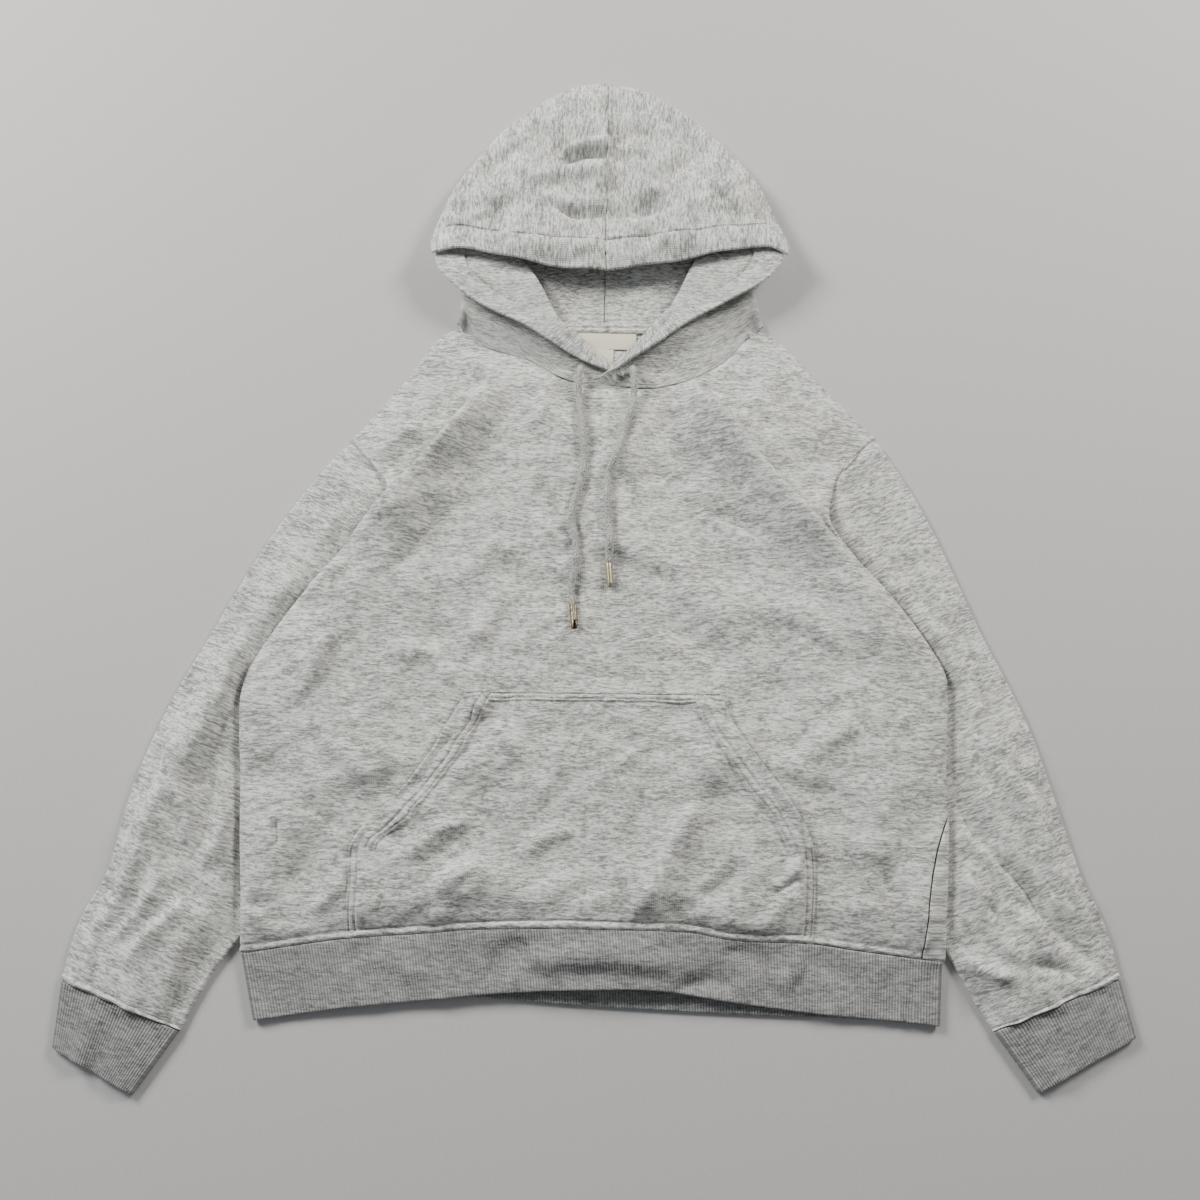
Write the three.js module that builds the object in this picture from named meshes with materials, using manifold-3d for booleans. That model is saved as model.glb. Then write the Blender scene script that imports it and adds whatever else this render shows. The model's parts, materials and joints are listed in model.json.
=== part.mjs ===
// A pullover hoodie in sweatshirt cloth, laid flat on its back with the hood spread above the neck.
// Millimetres. The origin is on the surface it lies on, on the centre line, level with the armpits.
// +X is the wearer's left, +Y runs from the hem to the hood and +Z is up, out of the front.
import * as THREE from 'three';
import Module from 'manifold-3d';

// Cloth and seams
const cloth = 1.8;            // thickness of the sweatshirt cloth
const rib = 2.6;              // thickness of the doubled rib
const seamGap = 0.4;          // each piece stops this far from the line of a seam
const fold = 1.5;             // radius of the cloth's middle where it folds back on itself
const onTable = cloth / 2;    // height of the middle of a layer that lies on the surface
const frontRise = 2 * fold;   // the front panel lies this much above the back panel
const quarterTurn = (Math.PI / 2) * fold;

// Sleeves, tucked under the body between the armpit and the hem
const sleeveStack = 5.7;      // the body is lifted by this where it lies on them
const armpit = { x: 226, y: -75 };
// Top of the armhole, and how far it reaches in from the line between its ends
const rightArmhole = { topX: 226, topY: 209, bow: 50 };
const leftArmhole = { topX: 245, topY: 221, bow: 48 };
const armholeShows = 160;     // above this height the armhole seam is not covered by the front's fold

// Ribbed bands
const bandRibs = 96;          // on the upper side of the hem band
const cuffRibs = 30;
const ribDepth = 0.7;

// Trims
const cordRadius = 3;
const aglet = { radius: 3.3, length: 22 };
const tape = { length: 190, width: 10, thick: 0.7 };
const label = { width: 57, height: 13, thick: 0.5 };
const sizeTag = { width: 20, height: 14, thick: 0.5 };

const melange = new THREE.MeshStandardMaterial({ color: 0xb9b9b6, roughness: 0.95, metalness: 0 });
const ribbing = new THREE.MeshStandardMaterial({ color: 0xaeaead, roughness: 0.95, metalness: 0 });
const cordCotton = new THREE.MeshStandardMaterial({ color: 0xb4b4ae, roughness: 0.9, metalness: 0 });
const tipMetal = new THREE.MeshStandardMaterial({ color: 0x9a8a68, roughness: 0.35, metalness: 1 });
const labelCloth = new THREE.MeshStandardMaterial({ color: 0xe6e1d2, roughness: 0.8, metalness: 0 });

// Small numeric helpers

const lerp = (a, b, t) => a + (b - a) * t;
const clamp01 = (t) => Math.min(1, Math.max(0, t));
const ease = (t) => clamp01(t) ** 2 * (3 - 2 * clamp01(t));
const vector = (x, y, z) => new THREE.Vector3(x, y, z);
const steps = (count) => Array.from({ length: count }, (_, k) => k);

// The value of one column of a table at a place along it, smooth through the rows
function column(rows, place, at, key) {
  let k = 0;
  while (k < rows.length - 2 && at > rows[k + 1][place]) k += 1;
  const slope = (i) => {
    const low = rows[Math.max(0, i - 1)];
    const high = rows[Math.min(rows.length - 1, i + 1)];
    return (high[key] - low[key]) / (high[place] - low[place]);
  };
  const [from, to] = [rows[k], rows[k + 1]];
  const span = to[place] - from[place];
  const t = clamp01((at - from[place]) / span);
  const [t2, t3] = [t * t, t * t * t];
  return (2 * t3 - 3 * t2 + 1) * from[key] + (t3 - 2 * t2 + t) * span * slope(k)
    + (3 * t2 - 2 * t3) * to[key] + (t3 - t2) * span * slope(k + 1);
}

// Height that a table of folds adds at a point: a ridge, or a trough where high is negative, from end to end
function foldHeight(folds, x, y) {
  return folds.reduce((sum, f) => {
    const [dx, dy] = [f.x1 - f.x0, f.y1 - f.y0];
    const near = clamp01(((x - f.x0) * dx + (y - f.y0) * dy) / (dx * dx + dy * dy));
    const away = Math.hypot(x - f.x0 - near * dx, y - f.y0 - near * dy) / f.wide;
    return sum + f.high * Math.exp(-away * away);
  }, 0);
}

// A wall of cloth around a grid of points in its middle. The face on the side of columns cross rows is moved
// out by half the thickness plus raised(row, column), the other by half the thickness, and the rim is closed.
// A closed grid runs on from its last column to its first.
function clothWall(grid, thickness, { raised = () => 0, closed = false } = {}) {
  const [rowCount, columnCount] = [grid.length, grid[0].length];
  const within = (i) => (closed
    ? (i + columnCount) % columnCount
    : Math.min(columnCount - 1, Math.max(0, i)));
  const at = (j, i) => grid[Math.min(rowCount - 1, Math.max(0, j))][within(i)];
  const [upper, lower] = [[], []];
  grid.forEach((row, j) => row.forEach((point, i) => {
    const across = at(j, i + 1).clone().sub(at(j, i - 1));
    const along = at(j + 1, i).clone().sub(at(j - 1, i));
    const normal = across.cross(along).normalize();
    upper.push(...point.clone().addScaledVector(normal, thickness / 2 + raised(j, i)).toArray());
    lower.push(...point.clone().addScaledVector(normal, -thickness / 2).toArray());
  }));
  const count = rowCount * columnCount;
  const index = [];
  const quad = (a, b, c, d) => index.push(a, b, c, a, c, d);
  const cells = closed ? columnCount : columnCount - 1;
  for (let j = 0; j < rowCount - 1; j += 1) {
    for (let i = 0; i < cells; i += 1) {
      const a = j * columnCount + i;
      const b = j * columnCount + within(i + 1);
      quad(a, b, b + columnCount, a + columnCount);
      quad(count + a, count + a + columnCount, count + b + columnCount, count + b);
    }
  }
  const last = (rowCount - 1) * columnCount;
  const rim = (a, b) => quad(b, a, count + a, count + b);
  for (let i = 0; i < cells; i += 1) {
    rim(i, within(i + 1));
    rim(last + within(i + 1), last + i);
  }
  for (let j = 0; !closed && j < rowCount - 1; j += 1) {
    rim(j * columnCount + columnCount - 1, (j + 1) * columnCount + columnCount - 1);
    rim((j + 1) * columnCount, j * columnCount);
  }
  const geometry = new THREE.BufferGeometry();
  geometry.setAttribute('position', new THREE.Float32BufferAttribute([...upper, ...lower], 3));
  geometry.setIndex(index);
  geometry.computeVertexNormals();
  return geometry;
}

const wasm = await Module();
wasm.setup();

// One solid out of two walls of the same piece of cloth
function joined(first, second) {
  const solid = (geometry) => new wasm.Manifold(new wasm.Mesh({
    numProp: 3,
    vertProperties: geometry.getAttribute('position').array,
    triVerts: new Uint32Array(geometry.index.array),
  }));
  const bodies = solid(first).add(solid(second)).decompose();
  const mesh = bodies.reduce((a, b) => (b.volume() > a.volume() ? b : a)).getMesh();
  const geometry = new THREE.BufferGeometry();
  geometry.setAttribute('position', new THREE.Float32BufferAttribute(mesh.vertProperties, 3));
  geometry.setIndex([...mesh.triVerts]);
  return geometry;
}

const hoodie = new THREE.Group();

function addPiece(name, geometry, material) {
  const piece = new THREE.Mesh(geometry, material);
  piece.name = name;
  hoodie.add(piece);
  return piece;
}

// Where things lie

// Distance of the armhole from the centre line, on the side that x is on
const armholeAt = (x, y) => {
  const { topX, topY, bow } = x < 0 ? rightArmhole : leftArmhole;
  const place = clamp01((topY - y) / (topY - armpit.y));
  return lerp(topX, armpit.x, place) - bow * (1 - Math.abs(2 * place - 1) ** 4);
};

// Distance of the tucked sleeve's underarm fold from the centre line, below the armpit
const underarm = [
  { y: -262, x: 314 }, { y: -250, x: 308 }, { y: -232, x: 297 }, { y: -214, x: 283 }, { y: -192, x: 272 },
  { y: -168, x: 262 }, { y: -143, x: 252 }, { y: -112, x: 240 }, { y: -88, x: 231 }, { y: -75, x: 226 },
];
const sleeveEdgeAt = (x, y) => (y > armpit.y ? armholeAt(x, y) : column(underarm, 'y', y, 'x'));

// Distance of the body's side edge, as seen from above, from the centre line
const bodySide = [
  { y: -229, x: 281 }, { y: -140, x: 289 }, { y: -48, x: 297 }, { y: -14, x: 298 }, { y: 10, x: 292 },
  { y: 62, x: 260 }, { y: 110, x: 221 }, { y: 145, x: 197 }, { y: 165, x: 189 }, { y: 187, x: 203 },
  { y: 209, x: 228 },
];

// 1 where the body lies on a sleeve, 0 well inside it; the lift reaches further in at the armpit
function onSleeve(x, y) {
  const level = 46 * Math.exp(-(((y - armpit.y) / 14) ** 2));
  const inside = sleeveEdgeAt(x, y) - Math.abs(x) - level;
  return (1 - ease((inside - 6) / 34)) * ease((y + 234) / 16);
}
const frontGround = (x, y) => onTable + sleeveStack * onSleeve(x, y) * ease((armholeShows + 27 - y) / 27);
function backGround(x, y) {
  const beyond = 1 - ease((sleeveEdgeAt(x, y) - Math.abs(x)) / 1.2);
  return onTable + sleeveStack * onSleeve(x, y) * Math.max(beyond, ease((armpit.y + 60 - y) / 42));
}

const frontFolds = [
  { x0: -94, y0: 262, x1: -240, y1: 20, wide: 20, high: 5 },
  { x0: 101, y0: 248, x1: 250, y1: 40, wide: 20, high: 5 },
  { x0: 30, y0: 215, x1: 118, y1: 95, wide: 17, high: -3 },
  { x0: -20, y0: 70, x1: -80, y1: 88, wide: 16, high: -2.5 },
  { x0: 5, y0: 150, x1: 100, y1: 60, wide: 18, high: 3 },
  { x0: -150, y0: -120, x1: -75, y1: -60, wide: 16, high: 3 },
  { x0: -160, y0: -205, x1: -95, y1: -165, wide: 15, high: 3 },
  { x0: 45, y0: -190, x1: 92, y1: -75, wide: 15, high: 3 },
  { x0: -255, y0: -190, x1: -230, y1: -140, wide: 14, high: -3 },
  { x0: 215, y0: -180, x1: 245, y1: -90, wide: 16, high: 3 },
];

// The front hem stands off the back hem in the middle
const hemLift = (x) => 5.5 * Math.exp(-(((x - 30) / 95) ** 2));

const hemSeam = [
  { x: -281, y: -229 }, { x: -197, y: -216 }, { x: -139, y: -211 }, { x: -94, y: -207 }, { x: -32, y: -205 },
  { x: 32, y: -205 }, { x: 80, y: -206 }, { x: 112, y: -211 }, { x: 176, y: -213 }, { x: 216, y: -218 },
  { x: 281, y: -225 },
];
const hemSeamAt = (x) => column(hemSeam, 'x', x, 'y');

// Middle of the front panel's upper side. inset is the distance from its side edge, and rise runs from 0 at
// the hem to 1 at the shoulder and neck.
function frontHeight(x, y, inset = 100, rise = 0.5) {
  const free = ease(inset / 45) * ease((y - hemSeamAt(x)) / 45) * ease((1 - rise) / 0.14);
  const neck = 3.2 * ease((rise - 0.8) / 0.2) * ease((125 - Math.abs(x)) / 45);
  const hem = hemLift(x) * (1 - ease((y - hemSeamAt(x)) / 60));
  const puff = Math.max(0.5, 3.5 + foldHeight(frontFolds, x, y));
  return frontGround(x, y) + frontRise + free * puff + neck + hem;
}

// Body panels

// Where a point lies on a folded edge. around is the distance along the cloth from the edge, positive on the
// upper side and negative on the lower: it gives the inset in plan and the share of the rise.
function roundEdge(around) {
  if (around > quarterTurn) return { inset: fold + around - quarterTurn, share: 1 };
  if (around < -quarterTurn) return { inset: fold - around - quarterTurn, share: 0 };
  return { inset: fold * (1 - Math.cos(around / fold)), share: (1 + Math.sin(around / fold)) / 2 };
}

// A point of a patch in plan between four border lines: sides is a table over rise with a left and a right
// point in each row, and top and bottom are tables over span, from 0 at the left to 1 at the right
const sideAt = (patch, rise, key) => column(rise > sharedSides ? patch.sides : frontSides, 'rise', rise, key);
function patchPoint(patch, span, rise) {
  const side = (key) => sideAt(patch, rise, key);
  const edge = (rows, key) => column(rows, 'span', span, key);
  const mix = (axis, key) => {
    const across = lerp(side(`left${axis}`), side(`right${axis}`), span);
    const along = lerp(edge(patch.bottom, key), edge(patch.top, key), rise);
    const low = lerp(patch.bottom[0][key], patch.bottom.at(-1)[key], span);
    const high = lerp(patch.top[0][key], patch.top.at(-1)[key], span);
    return across + along - lerp(low, high, rise);
  };
  return new THREE.Vector2(mix('X', 'x'), mix('Y', 'y'));
}

// The grid of a panel: close columns around both side edges and even ones between them. The front (upper 1)
// starts at the side seam and runs over the top, the back (upper -1) starts there and runs underneath.
const edgePlaces = [-quarterTurn, -0.8, 0.8, quarterTurn, 10];
const nextPlaces = [22, 34, 47, 62, 80];
function panelGrid(patch, rises, between, upper, height) {
  return rises.map((rise) => {
    const side = (key) => sideAt(patch, rise, key);
    const across = Math.hypot(side('rightX') - side('leftX'), side('rightY') - side('leftY'));
    const edge = (seamPlace) => {
      const start = upper * seamPlace + 3 * seamGap;
      const places = [start, ...edgePlaces.map((p, k) => Math.max(p, start + k + 1))];
      return places.map((p) => roundEdge(upper * p));
    };
    const point = ({ inset, share }, fromLeft) => {
      const span = fromLeft ? inset / across : 1 - inset / across;
      const plan = patchPoint(patch, span, rise);
      return vector(plan.x, plan.y, height(plan.x, plan.y, { inset, rise, span, share }));
    };
    const left = edge(side('leftSeam')).map((e) => ({ ...e, fromLeft: true }));
    const right = edge(side('rightSeam')).map((e) => ({ ...e, fromLeft: false })).reverse();
    const share = upper > 0 ? 1 : 0;
    const beyond = (inset, fromLeft) => nextPlaces.map((p, k) => (
      { inset: Math.max(p, inset + 3 * k + 3), share, fromLeft }
    ));
    const next = beyond(left.at(-1).inset, true);
    const last = beyond(right[0].inset, false);
    const [from, to] = [next.at(-1).inset, across - last.at(-1).inset];
    const middle = steps(between).map((k) => {
      const x = lerp(from, to, (k + 1) / (between + 1));
      const fromLeft = x < across / 2;
      return { inset: fromLeft ? x : across - x, share, fromLeft };
    });
    return [...left, ...next, ...middle, ...last.reverse(), ...right].map((e) => point(e, e.fromLeft));
  });
}

// 1 on the shoulders, 0 along the neck
const shoulderShare = (span, from, to) => 1 - ease((span - from) / 0.03) * ease((to - span) / 0.03);
const bodyLength = 440;

// The fold of the shoulder, along the top border: 1 on top, falling to one half at the border
function shoulderFold(rise) {
  const from = Math.min(1, ((1 - rise) * bodyLength) / fold);
  return 0.76 + 0.24 * Math.sqrt(1 - (1 - from) ** 2);
}

// leftSeam and rightSeam say how far round the side edge the side seam is, from the edge itself: on the upper
// side where positive, tucked under where negative
const flat = quarterTurn;
const sharedSides = 0.345;    // up to this rise both panels have the front's sides
const frontSides = [
  { rise: 0.00, leftX: -281, leftY: -228.6, rightX: 281, rightY: -224.6, leftSeam: -9, rightSeam: 17 },
  { rise: 0.10, leftX: -284, leftY: -186, rightX: 284, rightY: -184, leftSeam: -9, rightSeam: 15 },
  { rise: 0.22, leftX: -289, leftY: -140, rightX: 288, rightY: -140, leftSeam: -9, rightSeam: 10 },
  { rise: 0.34, leftX: -293, leftY: -90, rightX: 290, rightY: -92, leftSeam: -9, rightSeam: -3 },
  { rise: 0.44, leftX: -298, leftY: -48, rightX: 292, rightY: -50, leftSeam: -9, rightSeam: -9 },
  { rise: 0.51, leftX: -299, leftY: -18, rightX: 295, rightY: -12, leftSeam: -9, rightSeam: -9 },
  { rise: 0.57, leftX: -291, leftY: 8, rightX: 292, rightY: 14, leftSeam: -9, rightSeam: -9 },
  { rise: 0.68, leftX: -261, leftY: 58, rightX: 258, rightY: 66, leftSeam: -9, rightSeam: -9 },
  { rise: 0.80, leftX: -221, leftY: 111, rightX: 221, rightY: 109, leftSeam: -9, rightSeam: -9 },
  { rise: 0.90, leftX: -188.5, leftY: 160, rightX: 200, rightY: 146, leftSeam: flat, rightSeam: -4 },
  { rise: 0.95, leftX: -202, leftY: 186, rightX: 208, rightY: 180, leftSeam: flat, rightSeam: flat },
  { rise: 0.975, leftX: -213, leftY: 198, rightX: 224, rightY: 202, leftSeam: flat, rightSeam: flat },
  { rise: 1.00, leftX: -224.5, leftY: 211.5, rightX: 245, rightY: 223, leftSeam: flat, rightSeam: flat },
];
const frontTop = [
  { span: 0.00, x: -224.5, y: 211.5 }, { span: 0.10, x: -184, y: 266 }, { span: 0.20, x: -141, y: 321 },
  { span: 0.27, x: -101, y: 303 }, { span: 0.34, x: -66, y: 292 }, { span: 0.41, x: -34, y: 274 },
  { span: 0.49, x: 0, y: 271 }, { span: 0.57, x: 42, y: 267 }, { span: 0.65, x: 80, y: 277 },
  { span: 0.72, x: 111, y: 296 }, { span: 0.80, x: 147, y: 325 }, { span: 0.90, x: 199, y: 273 },
  { span: 1.00, x: 245, y: 223 },
];
const hemBorder = hemSeam.map((p) => ({ span: (p.x + 281) / 562, x: p.x, y: p.y + seamGap }));
const front = { sides: frontSides, top: frontTop, bottom: hemBorder };
const frontRises = [
  0, 0.035, 0.09, 0.15, 0.21, 0.27, 0.30, 0.33, 0.345, 0.39, 0.44, 0.48, 0.52, 0.57, 0.62, 0.68, 0.74, 0.80,
  0.85, 0.89, 0.92, 0.95, 0.975, 0.9966, 0.999, 1,
];
const frontGrid = panelGrid(front, frontRises, 12, 1, (x, y, { inset, rise, span, share }) => {
  const shoulder = shoulderShare(span, 0.2, 0.8) * (1 - shoulderFold(rise));
  return frontHeight(x, y, inset, rise) - frontRise * (1 - share + shoulder);
});
addPiece('front_panel', clothWall(frontGrid, cloth), melange);

// Above the armpit the back panel stops at the armhole, where it meets the under layer of the sleeve
const beside = (x, y) => armholeAt(x, y) + fold - 0.9;
const backSides = [
  { rise: 0.00, leftX: -281, leftY: -228.6, rightX: 281, rightY: -224.6, leftSeam: -9, rightSeam: 17 },
  { rise: 0.10, leftX: -284, leftY: -186, rightX: 284, rightY: -184, leftSeam: -9, rightSeam: 15 },
  { rise: 0.22, leftX: -289, leftY: -140, rightX: 288, rightY: -140, leftSeam: -9, rightSeam: 10 },
  { rise: 0.34, leftX: -293, leftY: -90, rightX: 290, rightY: -92, leftSeam: -9, rightSeam: -3 },
  ...[
    { rise: 0.38, y: -72 }, { rise: 0.41, y: -60 }, { rise: 0.44, y: -45 }, { rise: 0.48, y: -25 },
    { rise: 0.53, y: 0 }, { rise: 0.66, y: 55 }, { rise: 0.78, y: 110 }, { rise: 0.88, y: 155 },
    { rise: 0.94, y: 180 },
  ].map(({ rise, y }) => ({
    rise, leftX: -beside(-1, y), leftY: y, rightX: beside(1, y), rightY: y, leftSeam: -flat, rightSeam: -flat,
  })),
  { rise: 1.00, leftX: -224.5, leftY: 210.5, rightX: 245, rightY: 222, leftSeam: -flat, rightSeam: -flat },
];
const backTop = [
  { span: 0.00, x: -224.5, y: 210.5 }, { span: 0.12, x: -184, y: 266 }, { span: 0.24, x: -141, y: 321 },
  { span: 0.32, x: -90, y: 324 }, { span: 0.50, x: 4, y: 326 }, { span: 0.68, x: 95, y: 325 },
  { span: 0.76, x: 147, y: 325 }, { span: 0.88, x: 199, y: 273 }, { span: 1.00, x: 245, y: 222 },
];
const back = { sides: backSides, top: backTop, bottom: hemBorder };
const backRises = [
  0, 0.035, 0.09, 0.15, 0.21, 0.27, 0.30, 0.33, 0.345, 0.38, 0.41, 0.44, 0.48, 0.53, 0.60, 0.69, 0.78, 0.86,
  0.92, 0.96, 0.9966, 0.999, 1,
];
const backGrid = panelGrid(back, backRises, 7, -1, (x, y, { inset, rise, span, share }) => {
  const shoulder = shoulderShare(span, 0.24, 0.76) * (1 - shoulderFold(rise));
  const wrapped = share > 0 ? frontHeight(x, y, inset, rise) - frontRise - frontGround(x, y) : 0;
  return backGround(x, y) + frontRise * (share + shoulder) + wrapped * share;
});
addPiece('back_panel', clothWall(backGrid, cloth), melange);

// Flattened tubes

// A flat ring of points between the point a on the side of +X and the point b, over the top and back
// underneath. bow moves the middle of the ring sideways in plan.
function flatRing({ a, b, bow = 0, radius = fold, over, under, top, bottom }) {
  const width = a.distanceTo(b);
  const along = b.clone().sub(a).divideScalar(width);
  const sideways = new THREE.Vector2(-along.y, along.x);
  const at = (inset) => {
    const bowed = bow * (1 - Math.abs((2 * inset) / width - 1) ** 4);
    return a.clone().addScaledVector(along, inset).addScaledVector(sideways, bowed);
  };
  const point = (inset, share) => {
    const plan = at(inset);
    return vector(plan.x, plan.y, lerp(under(plan.x, plan.y), over(plan.x, plan.y, inset / width), share));
  };
  const turn = (tip, way) => [0.5, 0, -0.5].map((q) => {
    const angle = (q * Math.PI) / 1.7;
    return point(tip + way * radius * (1 - Math.cos(angle)), (1 + Math.sin(angle)) / 2);
  });
  const between = (count) => steps(count + 1).map((k) => lerp(radius, width - radius, k / count));
  return [
    ...between(top).map((x) => point(x, 1)),
    ...turn(width, -1),
    ...between(bottom).reverse().map((x) => point(x, 0)),
    ...turn(0, 1).reverse(),
  ];
}

// Sleeves: each row is a ring, from its outer edge to its underarm fold. puff lifts the upper layer where it
// lies free, and bow follows the armhole.
const leftSleeve = [
  { outX: -226, outY: 209, inX: -226, inY: -75, bow: 50, puff: 0 },
  { outX: -245, outY: 186, inX: -229, inY: -83, bow: 47, puff: 1.5 },
  { outX: -266, outY: 156, inX: -234, inY: -97, bow: 43, puff: 3 },
  { outX: -286, outY: 124, inX: -240, inY: -112, bow: 38, puff: 4 },
  { outX: -302, outY: 94, inX: -246, inY: -128, bow: 32, puff: 5 },
  { outX: -318, outY: 62, inX: -252, inY: -143, bow: 26, puff: 6 },
  { outX: -332, outY: 32, inX: -262, inY: -168, bow: 20, puff: 6 },
  { outX: -349, outY: -2, inX: -272, inY: -192, bow: 15, puff: 6 },
  { outX: -366, outY: -42, inX: -283, inY: -214, bow: 10, puff: 6 },
  { outX: -377, outY: -74, inX: -292, inY: -226, bow: 7, puff: 6 },
  { outX: -385, outY: -102, inX: -300, inY: -237, bow: 5, puff: 6 },
  { outX: -391, outY: -135, inX: -308, inY: -250, bow: 3, puff: 6 },
  { outX: -398, outY: -170, inX: -314, inY: -262, bow: 1, puff: 6 },
  { outX: -412, outY: -199, inX: -319, inY: -272, bow: 0, puff: 5 },
  { outX: -419, outY: -224, inX: -322, inY: -280, bow: 0, puff: 4.5 },
  { outX: -423, outY: -252, inX: -326, inY: -288, bow: 0, puff: 3 },
];
const rightSleeve = [
  { outX: 245, outY: 221, inX: 226, inY: -75, bow: 48, puff: 0 },
  { outX: 258, outY: 200, inX: 229, inY: -83, bow: 46, puff: 1.5 },
  { outX: 274, outY: 173, inX: 234, inY: -97, bow: 42, puff: 3 },
  { outX: 290, outY: 141, inX: 240, inY: -112, bow: 38, puff: 4 },
  { outX: 302, outY: 112, inX: 246, inY: -128, bow: 32, puff: 5 },
  { outX: 315, outY: 80, inX: 252, inY: -143, bow: 26, puff: 6 },
  { outX: 329, outY: 45, inX: 262, inY: -168, bow: 20, puff: 6 },
  { outX: 347, outY: 6, inX: 272, inY: -192, bow: 15, puff: 6 },
  { outX: 363, outY: -32, inX: 284, inY: -213, bow: 10, puff: 6 },
  { outX: 373, outY: -64, inX: 291, inY: -225, bow: 7, puff: 6 },
  { outX: 382, outY: -96, inX: 297, inY: -236, bow: 5, puff: 6 },
  { outX: 391, outY: -130, inX: 304, inY: -248, bow: 3, puff: 6 },
  { outX: 400, outY: -160, inX: 308, inY: -256, bow: 1, puff: 6 },
  { outX: 411, outY: -184, inX: 313, inY: -263, bow: 0, puff: 5 },
  { outX: 419, outY: -211, inX: 317, inY: -270, bow: 0, puff: 4.5 },
  { outX: 423, outY: -235, inX: 321, inY: -276, bow: 0, puff: 3 },
];
const sleeveFolds = [
  { x0: -262, y0: 120, x1: -330, y1: -30, wide: 15, high: 2.5 },
  { x0: -330, y0: -60, x1: -380, y1: -180, wide: 16, high: 3 },
  { x0: -300, y0: 40, x1: -325, y1: -90, wide: 12, high: -3 },
  { x0: -330, y0: -180, x1: -395, y1: -225, wide: 13, high: -3 },
  { x0: 262, y0: 130, x1: 330, y1: -10, wide: 15, high: 2.5 },
  { x0: 330, y0: -50, x1: 385, y1: -170, wide: 16, high: 3 },
  { x0: 300, y0: 50, x1: 325, y1: -80, wide: 12, high: -3 },
  { x0: 330, y0: -170, x1: 398, y1: -215, wide: 13, high: -3 },
];
const restingSleeve = onTable + frontRise;
function sleeveTop(x, y, place, puff) {
  const bare = ease((Math.abs(x) - column(bodySide, 'y', y, 'x') - 5) / 30);
  const free = y < -229 ? 1 : bare;
  const arched = ease(place / 0.22) * ease((1 - place) / 0.22);
  return restingSleeve + free * arched * Math.max(0, puff + foldHeight(sleeveFolds, x, y));
}
function sleeveGrid(rows) {
  return rows.map((row) => {
    const [outer, inner] = [new THREE.Vector2(row.outX, row.outY), new THREE.Vector2(row.inX, row.inY)];
    const isLeft = row.outX < 0;
    return flatRing({
      a: isLeft ? inner : outer, b: isLeft ? outer : inner, bow: -row.bow,
      over: (x, y, place) => sleeveTop(x, y, place, row.puff), under: () => onTable, top: 9, bottom: 6,
    });
  });
}
addPiece('sleeve_right', clothWall(sleeveGrid(leftSleeve), cloth, { closed: true }), melange);
addPiece('sleeve_left', clothWall(sleeveGrid(rightSleeve), cloth, { closed: true }), melange);

// Ribbed bands: the ribs are on the upper layer, two columns to a rib
const ribRadius = 1.6;
const bandTop = rib / 2 + 2 * ribRadius;
function ribbedTube(rings, ribs) {
  return clothWall(rings, rib, {
    raised: (j, i) => (i <= 2 * ribs && i % 2 === 1 ? ribDepth : 0), closed: true,
  });
}
function cuffGrid({ seamOut, seamIn, endOut, endIn }) {
  return [0, 1].map((t) => {
    const outer = seamOut.clone().lerp(endOut, t);
    const inner = seamIn.clone().lerp(endIn, t);
    const isLeft = outer.x < 0;
    return flatRing({
      a: isLeft ? inner : outer, b: isLeft ? outer : inner, radius: ribRadius,
      over: (x, y, place) => bandTop + 1.5 * ease(place / 0.3) * ease((1 - place) / 0.3),
      under: () => rib / 2, top: 2 * cuffRibs, bottom: 6,
    });
  });
}
const cuffs = {
  cuff_right: {
    seamOut: new THREE.Vector2(-423, -253), seamIn: new THREE.Vector2(-326.4, -288.9),
    endOut: new THREE.Vector2(-424, -304), endIn: new THREE.Vector2(-358, -337),
  },
  cuff_left: {
    seamOut: new THREE.Vector2(423, -236), seamIn: new THREE.Vector2(321.2, -276.9),
    endOut: new THREE.Vector2(432, -280), endIn: new THREE.Vector2(353, -322),
  },
};
Object.entries(cuffs).forEach(([name, corners]) => {
  addPiece(name, ribbedTube(cuffGrid(corners), cuffRibs), ribbing);
});

// Hem band: the front and back layers end at their own lines
const frontHem = [
  { x: -267, y: -280 }, { x: -193, y: -269 }, { x: -112, y: -260 }, { x: -76, y: -256 }, { x: -11, y: -252 },
  { x: 52, y: -251 }, { x: 113, y: -259 }, { x: 175, y: -266 }, { x: 245, y: -271 }, { x: 277, y: -274 },
];
const backHem = [
  { x: -267, y: -280 }, { x: -193, y: -268 }, { x: -103, y: -260 }, { x: -11, y: -264 }, { x: 73, y: -267 },
  { x: 154, y: -269 }, { x: 207, y: -270 }, { x: 277, y: -274 },
];
function hemBandGrid() {
  return [0, 1].map((t) => {
    const [right, left] = [lerp(281, 277, t), lerp(-281, -267, t)];
    const ring = flatRing({
      a: new THREE.Vector2(right, 0), b: new THREE.Vector2(left, 0), radius: ribRadius,
      over: () => 1, under: () => 0, top: 2 * bandRibs, bottom: 26,
    });
    return ring.map((p) => {
      const place = (p.x - left) / (right - left);
      const seamX = lerp(-281, 281, place);
      const seamY = hemSeamAt(seamX) - 1.6;
      const endX = lerp(-267, 277, place);
      const endY = lerp(column(backHem, 'x', endX, 'y'), column(frontHem, 'x', endX, 'y'), p.z);
      const y = lerp(seamY, endY, t);
      const ground = rib / 2 + sleeveStack * onSleeve(p.x, y);
      return vector(p.x, y, ground + p.z * (2 * ribRadius + hemLift(p.x)));
    });
  });
}
addPiece('hem_band', ribbedTube(hemBandGrid(), bandRibs), ribbing);

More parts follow.
